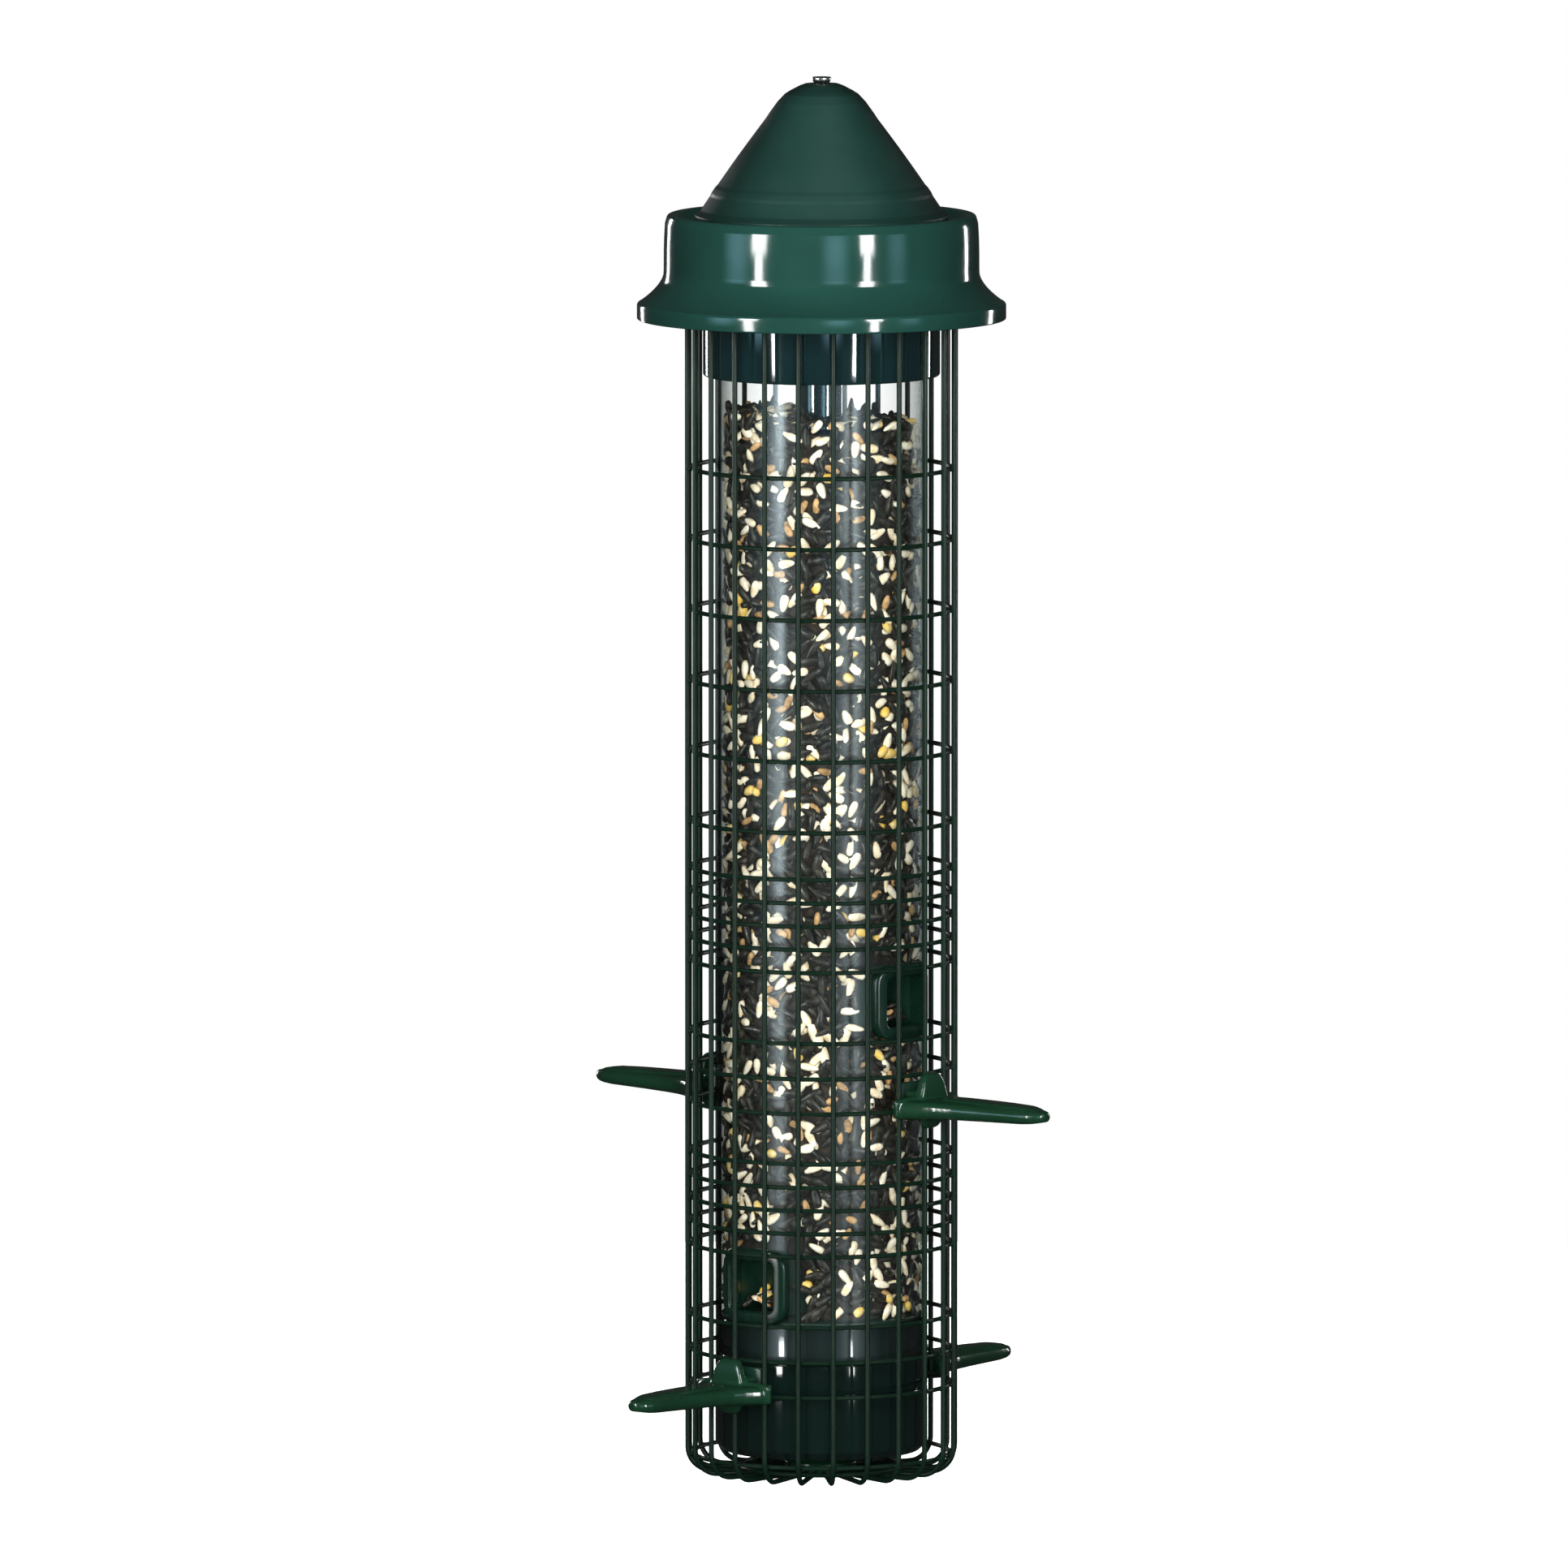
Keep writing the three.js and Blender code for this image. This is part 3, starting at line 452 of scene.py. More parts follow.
class FEEDER_OT_finishes(bpy.types.Operator):
    """Make the feeder's materials"""
    bl_idname = "feeder.finishes"
    bl_label = "Finishes"

    def execute(self, context):
        c = context.scene.feeder_colours
        s = context.scene.feeder_seed
        # Polypropylene from a polished tool: a broad soft gloss with slow waves, and painted shade that darkens the
        # green where it turns away.
        FINISH["hood"] = moulded(
            "gloss_polypropylene_green", c.hood, 0.1, POLYPROPYLENE, grain=1.1, depth=0.004, wave=0.2, painted_falloff=0.4)
        # Polypropylene from a spark-eroded tool: a satin surface that spreads the light, with strong painted shade
        # that darkens the green where it turns away.
        FINISH["roof"] = moulded(
            "satin_polypropylene_green", c.roof, 0.4, POLYPROPYLENE, grain=0.8, depth=0.02, wave=0.2,
            sheen=0.3, painted_falloff=0.8)
        # ABS, polished: near black with sharp reflections.
        FINISH["gloss_dark"] = moulded(
            "polished_abs_dark_green", c.dark, 0.06, ABS, grain=1.5, depth=0.003, spread=0.15, wave=0.18, sheen=1.0)
        FINISH["cup"] = moulded(
            "polished_abs_near_black", c.cup, 0.07, ABS, grain=1.5, depth=0.003, spread=0.15, wave=0.18)
        # Glass-filled nylon, moulded: a firm green with a slightly dry shine. The perches' green gets painted shade
        # where it turns away.
        FINISH["moulded"] = moulded(
            "moulded_nylon_green", c.perch, 0.17, NYLON, grain=0.9, depth=0.006, spread=0.1, wave=0.12,
            sheen=0.7, painted_falloff=0.4)
        FINISH["bezel"] = moulded(
            "moulded_nylon_dark_green", c.bezel, 0.24, NYLON, grain=0.9, depth=0.01, spread=0.1)
        FINISH["keeper"] = moulded("satin_nylon_dark_green", c.inner, 0.36, NYLON, grain=0.9, depth=0.02)
        # Polypropylene, unpolished: dark and quiet inside the tube.
        FINISH["inner"] = moulded("moulded_polypropylene_dark", c.inner, 0.42, POLYPROPYLENE, grain=0.9, depth=0.03)
        # Polyester powder coat on welded wire: orange peel about a millimetre across.
        FINISH["wire"] = moulded(
            "powder_coated_wire_green", c.wire, 0.36, POLYESTER, grain=1.6, depth=0.05, spread=0.14, sheen=0.22)
        # Acetal, moulded: ochre with a soft waxy shine.
        FINISH["knob"] = moulded("moulded_acetal_ochre", c.brass, 0.4, ACETAL, grain=0.9, depth=0.02)
        # Zinc-plated steel: grey with a faint cloudy grain.
        FINISH["steel"] = metal("zinc_plated_steel", c.steel, 0.28, 1.2)
        # Drawn spring steel: lines along the wire, drawn coarser than they are so that they show.
        FINISH["spring"] = metal("drawn_spring_steel", c.spring, 0.3, 0.8, (1.0, 1.0, 4.0))
        # Polycarbonate, extruded clear, with a thin film of seed dust.
        FINISH["clear"] = clear_plastic(
            "clear_polycarbonate", (0.995, 1.0, 0.998), linear("#32472e"), linear("#c9cbb8"))
        # Seed: a dull skin with paler or darker streaks along it.
        FINISH["husk"] = seed_skin("sunflower_husk", s.husk, s.husk_streak, 2.2, 0.42)
        FINISH["heart"] = seed_skin("sunflower_heart", s.heart, linear("#dcc492"), 4.5, 0.45)
        FINISH["grain"] = seed_skin("husked_grain", s.grain, linear("#7c5a32"), 3.5, 0.55)
        FINISH["maize"] = seed_skin("cut_maize", s.maize, linear("#f3e3a8"), 4.0, 0.45)
        # The heap behind the visible seed: dusty, with its seed colour darkened as painted shade for the seed that
        # lies in shade behind.
        FINISH["heap"] = seed_skin("seed_heap", linear("#17120d"), linear("#3a2e20"), 4.0, 0.8)
        return {"FINISHED"}


# ---- Standing in for the frame ------------------------------------------------------------

def hung(piece, body, nodes):
    """Hang a piece on its body and hide the frame nodes it stands for."""
    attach(piece, body)
    if nodes:
        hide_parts(*nodes)
    return piece


def stand(mesh, name, body, slot, nodes, finish, sharp=35):
    """Finish a mesh in millimetres and hang it."""
    return hung(finished(mesh, name, FINISH[finish], sharp), body, nodes)


def lathe(corners, segments, *where):
    """Turn a filleted outline and hang it."""
    return stand(turned(filleted(corners), segments), *where)


def repaint(node, finish):
    """Give a frame node that stays in view a finish."""
    piece = bpy.data.objects[node]
    piece.data.materials.clear()
    piece.data.materials.append(FINISH[finish])
    return piece


# ---- Roof and hood ------------------------------------------------------------------------

class FEEDER_OT_hood(bpy.types.Operator):
    """Turn the hood: ledge, rolled rim, drum, concave flare and brim"""
    bl_idname = "feeder.hood"
    bl_label = "Hood"

    def execute(self, context):
        ledge, bottom, brim = high("hood") - 4, low("hood"), high("hood", 0)
        wall, drum, mouth = 2.0, 65.2, 41.4
        flare_top, flare_bottom = ledge - 20, bottom + 6.5
        flare = [
            (drum + (brim - drum - 0.4) * t ** 1.75, flare_top + (flare_bottom - flare_top) * t)
            for t in (k / 14 for k in range(15))
        ]
        inside = [(r - wall * (1 - 0.2 * i / 14), z - wall * i / 14) for i, (r, z) in enumerate(flare)]
        lathe([
            (mouth, ledge - 2, 0.5),
            (drum - wall, ledge - 2, 1.0),
            (drum - wall, flare_top - 1, 0),
            *((r, z, 0) for r, z in inside[1:-1]),
            (brim - wall, flare_bottom - wall, 1.2),
            (brim - wall, bottom, 0.4),
            (brim, bottom, 0.6),
            (brim, flare_bottom, 1.5),
            *((r, z, 0) for r, z in reversed(flare[1:-1])),
            (drum + 0.02, flare_top + 1.2, 2.0),
            (drum, flare_top + 5, 0),
            (drum - 0.02, ledge - 11, 0),
            (drum - 0.12, ledge - 7, 0),
            (drum - 0.3, ledge - 3, 0),
            (drum - 0.5, ledge + 0.2, 1.6),
            (drum - 1.6, ledge + 4, 1.6),
            (drum - 5.5, ledge + 3.6, 1.3),
            (drum - 7.7, ledge, 2.2),
            (50.6, ledge, 0.5),
            (50.1, ledge - 0.25, 0.2),
            (49.1, ledge - 0.25, 0.2),
            (48.6, ledge, 0.5),
            (mouth, ledge, 0.7),
        ], 192, "hood_shell", "reservoir", "hood_green", ["hood"], "hood")
        collar_bottom, collar_top = low("tube_collar"), high("tube_collar")
        bore, sleeve, tucked = 44.3, 49.0, 48.4
        lathe([
            (bore, collar_bottom, 0.4),
            (sleeve, collar_bottom, 1.2),
            (sleeve, bottom + 4, 0.3),
            (tucked, bottom + 5, 0.3),
            (tucked, collar_top, 0.4),
            (bore, collar_top, 0.4),
        ], 160, "collar_sleeve", "reservoir", "gloss_dark", ["tube_collar"], "gloss_dark")
        return {"FINISHED"}


class FEEDER_OT_roof(bpy.types.Operator):
    """Turn the roof cap, its grommet, the hanger's stem and the ferrule"""
    bl_idname = "feeder.roof"
    bl_label = "Roof cap and hanger"

    def execute(self, context):
        bottom, apex = low("roof_cap"), high("roof_cap")
        bead = context.scene.feeder_sizes.roof_bead / MM
        (eave, eave_rise), (neck, neck_rise) = (49.9, 5.2), (21.2, 45.6)

        def side(rise, out=0.0):
            """The cone's outer face at a height above the eave, a little bulged."""
            t = (rise - eave_rise) / (neck_rise - eave_rise)
            bulge = 0.55 * math.sin(math.pi * min(max(t, 0), 1))
            return eave + (neck - eave) * t + bulge + out, bottom + rise

        outside = [
            (52.4, bottom, 0.5),
            (52.4, bottom + 3.2, 1.0),
            (*side(5.2), 1.4),
            (*side(8.5), 0),
            (*side(11.0), 1.6),
            (*side(12.4, bead), 1.6),
            (*side(14.4, bead), 1.6),
            (*side(15.8), 1.6),
            *((*side(rise), 0) for rise in (19, 24, 29, 34, 39, 43)),
            (21.6, apex - 12.2, 2.5),
            (18.3, apex - 7.6, 2.5),
            (15.2, apex - 4.3, 1.2),
            (13.0, apex - 2.9, 0.8),
            (9.2, apex - 0.9, 0.8),
            (6.8, apex, 0.6),
            (5.7, apex - 0.1, 0.3),
        ]
        inside = [
            (5.7, apex - 2.2, 0.3),
            (12.0, apex - 4.9, 1.0),
            (19.0, apex - 12.6, 2.0),
            (47.2, bottom + 5.2, 1.0),
            (50.4, bottom + 1.6, 0.8),
            (50.4, bottom, 0.4),
        ]
        lathe(outside + inside, 160, "roof_shell", "cap", "hood_green", ["roof_cap"], "roof")
        top = high("cap_grommet")
        lathe([
            (4.3, top - 4.9, 0.3), (7.6, top - 4.9, 0.4), (7.6, top - 3.4, 0.3), (5.3, top - 3.4, 0.2),
            (5.3, top, 0.3), (4.3, top, 0.3),
        ], 64, "cap_seal", "cap", "inner_green", ["cap_grommet"], "inner")
        stem_bottom, stem_top = low("hanger_stem"), high("hanger_stem")
        lathe([
            (0, stem_bottom, 0), (2.5, stem_bottom, 0.4), (2.5, stem_top, 0.2), (0, stem_top, 0),
        ], 40, "stem_rod", "reservoir", "steel", ["hanger_stem"], "steel")
        foot, head = low("hanger_ferrule"), high("hanger_ferrule")
        lathe([
            (0, foot, 0), (3.2, foot, 0.2), (3.9, foot + 1.2, 0.3), (4.0, head - 0.7, 0.2), (4.0, head, 0.4),
            (2.3, head, 0.2), (2.1, head - 0.5, 0.2), (0, head - 0.5, 0),
        ], 48, "stem_ferrule", "reservoir", "steel", ["hanger_ferrule"], "steel")
        return {"FINISHED"}


# ---- Seed tube and its ports --------------------------------------------------------------

def port_middle(side):
    """The height of a port's middle, in millimetres."""
    node = "port_frame_" + side
    return (low(node) + high(node)) / 2


def rounded_box_path(half_width, half_height, corner, steps=6):
    """Points round a rectangle with round corners, with their outward directions."""
    points = []
    for quarter in range(4):
        cx = (half_width - corner) * (1 if quarter in (0, 3) else -1)
        cy = (half_height - corner) * (1 if quarter < 2 else -1)
        for step in range(steps + 1):
            angle = math.radians(90 * quarter + 90 * step / steps)
            direction = (math.cos(angle), math.sin(angle))
            points.append((cx + corner * direction[0], cy + corner * direction[1], direction))
    return points


class FEEDER_OT_tube(bpy.types.Operator):
    """Cut the clear tube with its four windows, and turn the centre tube"""
    bl_idname = "feeder.tube"
    bl_label = "Seed tube"

    def execute(self, context):
        bottom, top = low("feed_tube_lower"), high("feed_tube_upper")
        lip, column_width, row_height = 0.5, 2.25, 12   # millimetres, degrees, millimetres
        half = math.degrees(math.asin(WINDOW_WIDTH / 2 / ((TUBE_RADIUS + TUBE_BORE) / 2)))
        windows = []
        for side, angle in PORTS.items():
            middle = port_middle(side)
            windows.append((angle - half, angle + half, middle - WINDOW_HEIGHT / 2, middle + WINDOW_HEIGHT / 2))
        marks = sorted({w[0] % 360 for w in windows} | {w[1] % 360 for w in windows})
        angles = []
        for i, mark in enumerate(marks):
            following = marks[(i + 1) % len(marks)]
            span = (following - mark) % 360
            count = max(1, round(span / column_width))
            angles += [mark + span * k / count for k in range(count)]
        edges = sorted({w[2] for w in windows} | {w[3] for w in windows})
        stops = [bottom + lip, *edges, top - lip]
        heights = [bottom]
        for a, b in zip(stops, stops[1:]):
            count = max(1, round((b - a) / row_height))
            heights += [a + (b - a) * k / count for k in range(count)]
        heights += [top - lip, top]

        def cut(i, j):
            """Whether a window takes the patch at a column and a row."""
            middle = (angles[i] + ((angles[(i + 1) % len(angles)] - angles[i]) % 360) / 2) % 360
            level = (heights[j] + heights[j + 1]) / 2
            return any(
                abs((middle - (w[0] + w[1]) / 2 + 180) % 360 - 180) < (w[1] - w[0]) / 2 and w[2] < level < w[3]
                for w in windows)

        columns, rows = len(angles), len(heights)
        vertices = []
        for outer in (True, False):
            for j, z in enumerate(heights):
                ends = j in (0, rows - 1)
                r = (TUBE_RADIUS - lip * ends) if outer else (TUBE_BORE + lip * ends)
                vertices += [polar(r, math.radians(a), z) for a in angles]
        shift = columns * rows
        kept = {(i, j) for i in range(columns) for j in range(rows - 1) if not cut(i, j)}
        faces = []
        for i, j in kept:
            k = (i + 1) % columns
            a, b, c, d = j * columns + i, j * columns + k, (j + 1) * columns + k, (j + 1) * columns + i
            faces.append((a, b, c, d))
            faces.append((d + shift, c + shift, b + shift, a + shift))
            for neighbour, (p, q) in (
                (((i - 1) % columns, j), (d, a)), ((k, j), (b, c)), ((i, j - 1), (a, b)), ((i, j + 1), (c, d)),
            ):
                if neighbour not in kept:
                    faces.append((q, p, p + shift, q + shift))
        stand(
            mesh_of(vertices, faces), "clear_tube", "reservoir", "clear_tube",
            ["feed_tube_lower", "feed_tube_upper"], "clear", 30)

        foot, head, inner, outer = low("centre_tube"), high("centre_tube"), 8.15, 9.25
        lathe([
            (inner, foot, 0.3), (outer, foot, 0.3), (outer, head, 0.3), (inner, head, 0.3),
        ], 72, "inner_tube", "reservoir", "inner_green", ["centre_tube"], "gloss_dark")
        return {"FINISHED"}


class FEEDER_OT_ports(bpy.types.Operator):
    """Bend the four port frames round the tube and line their windows"""
    bl_idname = "feeder.ports"
    bl_label = "Feed ports"

    def execute(self, context):
        # Across the frame's edge, from the liner's inner end round the face to its outer edge:
        # how far outside the window's lining, how far out from the tube's axis, and the fillet.
        section = filleted([
            (0.0, 38.0, 0.4), (0.0, 46.2, 0.9), (0.9, 47.0, 0.7), (5.2, 47.0, 1.2), (5.6, 44.4, 0.4),
            (1.5, 44.4, 0.2), (1.3, 43.6, 0.2), (1.3, 38.0, 0.4)], 3)
        lining = (11.3, 10.3, 2.6)      # half its width, half its height, corner
        widest, wall = 17, 44.2         # what lies outside the wall bends round the tube
        for side, angle in PORTS.items():
            middle = port_middle(side)
            rings = []
            for x, y, direction in rounded_box_path(*lining, 7):
                ring = []
                for out, reach in section:
                    across, level = x + out * direction[0], y + out * direction[1]
                    across = max(-widest, min(widest, across))
                    depth = math.sqrt(max(reach * reach - across * across, 1)) if reach > wall else reach
                    ring.append((depth, across, middle + level))
                rings.append(ring)
            stand(
                gathered([spun(skin(rings, closed=True), angle)]), "port_bezel_" + side, "reservoir",
                "moulded_green", ["port_frame_" + side], "bezel")
            repaint("port_baffle_" + side, "inner")
        return {"FINISHED"}


# ---- Base ---------------------------------------------------------------------------------

class FEEDER_OT_base(bpy.types.Operator):
    """Turn the base cup with its spigot, and the seed cone"""
    bl_idname = "feeder.base"
    bl_label = "Base cup"

    def execute(self, context):
        bottom, top = low("base_cup"), high("base_cup")
        step = low("feed_tube_lower") - 0.3
        lathe([
            (7.9, bottom, 0.3), (11.2, bottom, 0.6), (12.0, bottom + 0.9, 0.4), (30.0, bottom + 0.9, 0.4),
            (31.0, bottom, 0.6), (40.6, bottom, 1.6), (TUBE_RADIUS, bottom + 3.4, 1.6),
            # A fine groove round the cup.
            (TUBE_RADIUS, bottom + 26.0, 0.3), (43.4, bottom + 26.5, 0.25), (43.4, bottom + 27.2, 0.25),
            (TUBE_RADIUS, bottom + 27.7, 0.3),
            # The step that the tube stands on, and the spigot inside it.
            (TUBE_RADIUS, step, 0.5), (41.7, step, 0.3), (41.7, top - 1.0, 0.3), (41.1, top, 0.5),
            (39.3, top, 0.5), (39.3, bottom + 2.4, 1.6), (7.9, bottom + 2.4, 0.3),
        ], 160, "base_shell", "reservoir", "gloss_dark", ["base_cup"], "cup")
        foot, head = low("seed_cone"), high("seed_cone")
        lathe([
            (41.6, foot, 0.3), (41.6, foot + 1.6, 0.4), (9.6, head, 0.4), (9.6, head - 1.6, 0.4),
        ], 128, "seed_slide", "reservoir", "inner_green", ["seed_cone"], "inner")
        return {"FINISHED"}


# ---- Cage ---------------------------------------------------------------------------------

def ball(centre, radii, turn):
    """A small rounded lump, turned about Z."""
    rings, sides = 4, 8
    matrix = Matrix.Rotation(turn, 3, "Z")
    layers = []
    for i in range(1, rings):
        polar = math.pi * i / rings
        layers.append([
            Vector(centre) + matrix @ Vector((
                radii[0] * math.sin(polar) * math.cos(TURN * j / sides),
                radii[1] * math.sin(polar) * math.sin(TURN * j / sides),
                -radii[2] * math.cos(polar)))
            for j in range(sides)])
    return skin(layers)


def ring_nodes():
    return sorted(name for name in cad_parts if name.startswith("cage_ring_"))


class FEEDER_OT_cage(bpy.types.Operator):
    """Bend the cage's uprights, weld on its rings and make the hub"""
    bl_idname = "feeder.cage"
    bl_label = "Cage"

    def execute(self, context):
        sizes = context.scene.feeder_sizes
        wire = sizes.upright_wire / MM
        ring_wire = sizes.ring_wire / MM
        top = high("cage_uprights") - 0.2
        bend, level = 10.0, 1.4         # radius of the bend into the floor, height of the floor's wires
        floor_ring, hub_edge = 34, 14.6
        path = [(UPRIGHT_CIRCLE, 0, top), (UPRIGHT_CIRCLE, 0, top - 0.5), (UPRIGHT_CIRCLE, 0, 430),
                (UPRIGHT_CIRCLE, 0, 300), (UPRIGHT_CIRCLE, 0, 150), (UPRIGHT_CIRCLE, 0, 60)]
        for step in range(11):
            angle = math.radians(90 * step / 10)
            path.append((
                UPRIGHT_CIRCLE - bend + bend * math.cos(angle), 0, level + bend - bend * math.sin(angle)))
        path += [(floor_ring, 0, level), (hub_edge, 0, level)]
        thickness = [wire * 0.72] + [wire] * (len(path) - 1)
        upright = skin(along(path, thickness, 12))
        parts = [spun(upright, 360 * i / UPRIGHTS) for i in range(UPRIGHTS)]

        def hoop(radius, height, size, segments=120, sides=10):
            """A closed ring of wire."""
            return skin(along(around(radius, height, segments), size, sides, closed=True), closed=True)

        reach = wire + ring_wire - 0.35     # the weld sinks one wire into the other
        parts.append(hoop(UPRIGHT_CIRCLE - reach, top - 3.8, ring_wire))
        parts.append(hoop(floor_ring, level + reach, ring_wire))
        stand(gathered(parts), "cage_wires", "cage", "coated_wire", ["cage_uprights"], "wire")

        weld = sizes.weld / MM
        lump = (weld * 0.72, weld * 0.86, weld * 0.8)
        hoops, welds = [], []
        for node in ring_nodes():
            height = (low(node) + high(node)) / 2
            # The frame's rings clear the uprights by a hair; welded ones touch.
            radius = high(node, 0) - ring_wire + 0.32
            hoops.append(hoop(radius, height, ring_wire))
            for i in range(UPRIGHTS):
                angle = TURN * i / UPRIGHTS
                welds.append(ball(polar(radius + 1.0, angle, height), lump, angle))
        stand(gathered(hoops), "cage_rings", "cage", "coated_wire", ring_nodes(), "wire")
        stand(gathered(welds), "cage_welds", "cage", "coated_wire", [], "wire", 80)

        lathe([
            (10.6, 0, 0.3), (15.0, 0, 0.8), (15.0, 5.0, 0.5), (13.6, 6.5, 0.7), (5.0, 6.5, 0.4), (4.4, 6.1, 0.2),
            (2.4, 6.1, 0.2), (2.4, 4.4, 0.2), (10.6, 4.4, 0.5),
        ], 96, "cage_boss", "cage", "moulded_green", ["cage_hub"], "moulded")
        return {"FINISHED"}


class FEEDER_OT_knob(bpy.types.Operator):
    """Shape the adjusting knob, with its finger lobes"""
    bl_idname = "feeder.knob"
    bl_label = "Adjusting knob"

    def execute(self, context):
        bottom, top = low("adjust_knob"), high("adjust_knob")
        lobes, count, swell = 8, 96, 0.5
        rings = []
        for r, z in filleted([(2.9, top, 0), (9.9, top, 0.6), (9.9, bottom, 0.9), (8.2, bottom, 0.3),
                              (7.8, bottom + 0.8, 0.3), (2.9, bottom + 0.8, 0.3)], 3):
            lobe = swell if r > 8.6 else 0.0
            rings.append([
                polar(r - lobe + lobe * math.cos(lobes * TURN * k / count), TURN * k / count, z)
                for k in range(count)])
        stand(gathered([skin(rings, closed=True)]), "knob_grip", "knob", "moulded_green", ["adjust_knob"], "knob")
        return {"FINISHED"}


# ---- Perches ------------------------------------------------------------------------------

def bar_section(x, half_width, bottom, top, corner, steps=5):
    """A rounded rectangle across X."""
    half = (top - bottom) / 2
    corner = min(corner, half * 0.95, half_width * 0.95)
    return [
        (x, y, (top + bottom) / 2 + z)
        for y, z, _ in rounded_box_path(half_width, half, corner, steps)]


PERCH_ROOT, PERCH_LENGTH, TONGUE_TOP = 57.5, 63.4, 3.3


def perch_parts(rib):
    """The closed forms that blend into one perch; it points along +X, its middle at z = 0."""
    parts = []
    # The tongue: wide at the root, waisted, then slender to a round tip. Each pair is a distance
    # from the axis and half the width there.
    widths = [(57.5, 18.2), (59.5, 17.4), (62, 15.8), (65.5, 13.8), (70, 12.0), (78, 10.2), (90, 8.7),
              (102, 7.6), (110, 6.9), (115, 6.1), (118, 4.9), (120, 3.2), (120.9, 1.4)]
    rings = []
    for x, width in widths:
        along_it = (x - PERCH_ROOT) / PERCH_LENGTH
        top = TONGUE_TOP - 0.5 * along_it
        bottom = -4.1 + 1.0 * along_it
        if x > 110:
            ease = ((x - 110) / 11) ** 2
            top -= 0.9 * ease
            bottom += 1.3 * ease
        rings.append(bar_section(x, width, bottom, top, 3.0))
    parts.append(skin(rings))
    # The rib on top of the tongue, from a rounded start to the tip.
    rings = []
    for x, width, height in (
        (66.5, 1.6, -0.5), (67.3, 3.2, 0.4), (69, 4.8, rib), (78, 5.6, rib), (90, 5.5, rib), (102, 5.1, rib * 0.95),
        (111, 4.4, rib * 0.8), (115.5, 3.4, rib * 0.4), (118, 2.0, -0.4),
    ):
        base = TONGUE_TOP - 0.5 * (x - PERCH_ROOT) / PERCH_LENGTH
        rings.append(bar_section(x, width, base - 1.6, base + height, 0.7, 3))
    parts.append(skin(rings))
    # The pad that lies against the cage wires.
    rings = []
    for step in range(-13, 14):
        angle = math.radians(19.5 * step / 13)
        half = 5.6 - 1.9 * (abs(step) / 13) ** 2
        rings.append([
            polar(58.75 + y, angle, z) for y, z, _ in rounded_box_path(1.65, half, 1.1, 3)])
    parts.append(skin(rings))
    # The post that rises behind the tongue, and the gusset below it.
    rings, inner = [], 57.2
    for z, width, outer in (
        (-9.0, 3.0, 59.2), (-8.2, 4.6, 59.9), (-6.0, 6.2, 60.6), (-2, 8.2, 61.3), (4, 8.6, 61.5), (8, 7.4, 61.4),
        (11, 6.4, 61.0), (12.8, 5.2, 60.5), (13.8, 3.6, 59.9),
    ):
        rings.append([
            ((outer + inner) / 2 + x, y, z)
            for x, y, _ in rounded_box_path((outer - inner) / 2, width, 1.0, 3)])
    parts.append(skin(rings))
    # The pegs that pass between the wires to the keeper plate.
    for y in PEGS:
        inner = math.sqrt(52.06 ** 2 - 5.4 ** 2) + 0.35
        rings = along([(inner, y, 5), (inner + 0.5, y, 5), (58.2, y, 5)], [1.5, 1.8, 1.8], 16)
        parts.append(skin(rings))
    return parts


class FEEDER_OT_perches(bpy.types.Operator):
    """Mould the four perches and their keeper plates"""
    bl_idname = "feeder.perches"
    bl_label = "Perches"

    def execute(self, context):
        sizes = context.scene.feeder_sizes
        mesh = gathered(perch_parts(sizes.perch_rib / MM))
        blank = finished(mesh, "perch_blank", FINISH["moulded"])
        voxels = blank.modifiers.new("blend", "REMESH")
        voxels.mode = "VOXEL"
        voxels.voxel_size = sizes.perch_voxel
        voxels.use_smooth_shade = True
        ease = blank.modifiers.new("ease", "SMOOTH")
        ease.factor = 0.5
        ease.iterations = 3
        master = applied(blank)
        bpy.data.objects.remove(blank)
        for side, angle in PORTS.items():
            clip = "perch_clip_" + side
            middle = (low(clip) + high(clip)) / 2 - 5
            mesh = master.copy()
            mesh.transform(Matrix.Translation((0, 0, middle * MM)))
            mesh.transform(Matrix.Rotation(math.radians(angle), 4, "Z"))
            mesh.shade_smooth()
            piece = bpy.data.objects.new("perch_form_" + side, mesh)
            mesh.materials.clear()
            mesh.materials.append(FINISH["moulded"])
            context.scene.collection.objects.link(piece)
            hung(piece, "cage", ["perch_" + side])

            rings = []
            for step in range(-9, 10):
                bearing = math.radians(11.0 * step / 9)
                half = 5.0 if abs(step) < 9 else 4.2
                rings.append([
                    polar(50.96 + x, bearing, middle + 5 + z)
                    for x, z, _ in rounded_box_path(1.08, half, 0.7, 3)])
            plate = spun(skin(rings), angle)
            screws = [
                spun(screw_head(49.9, math.degrees(math.asin(y / 51)), middle + 5), angle) for y in PEGS]
            stand(gathered([plate, *screws]), "keeper_" + side, "cage", "keeper_green", [clip], "keeper")
        return {"FINISHED"}


def screw_head(radius, bearing, height):
    """A low domed head on the inner face of a keeper plate."""
    rings = []
    for reach, size in ((0.6, 1.9), (0.0, 1.9), (-0.45, 1.5), (-0.65, 0.7)):
        rings.append([
            (radius + reach, size * math.cos(TURN * j / 16), height + size * math.sin(TURN * j / 16))
            for j in range(16)])
    return spun(skin(rings), bearing)


# ---- Lift rod and spring ------------------------------------------------------------------

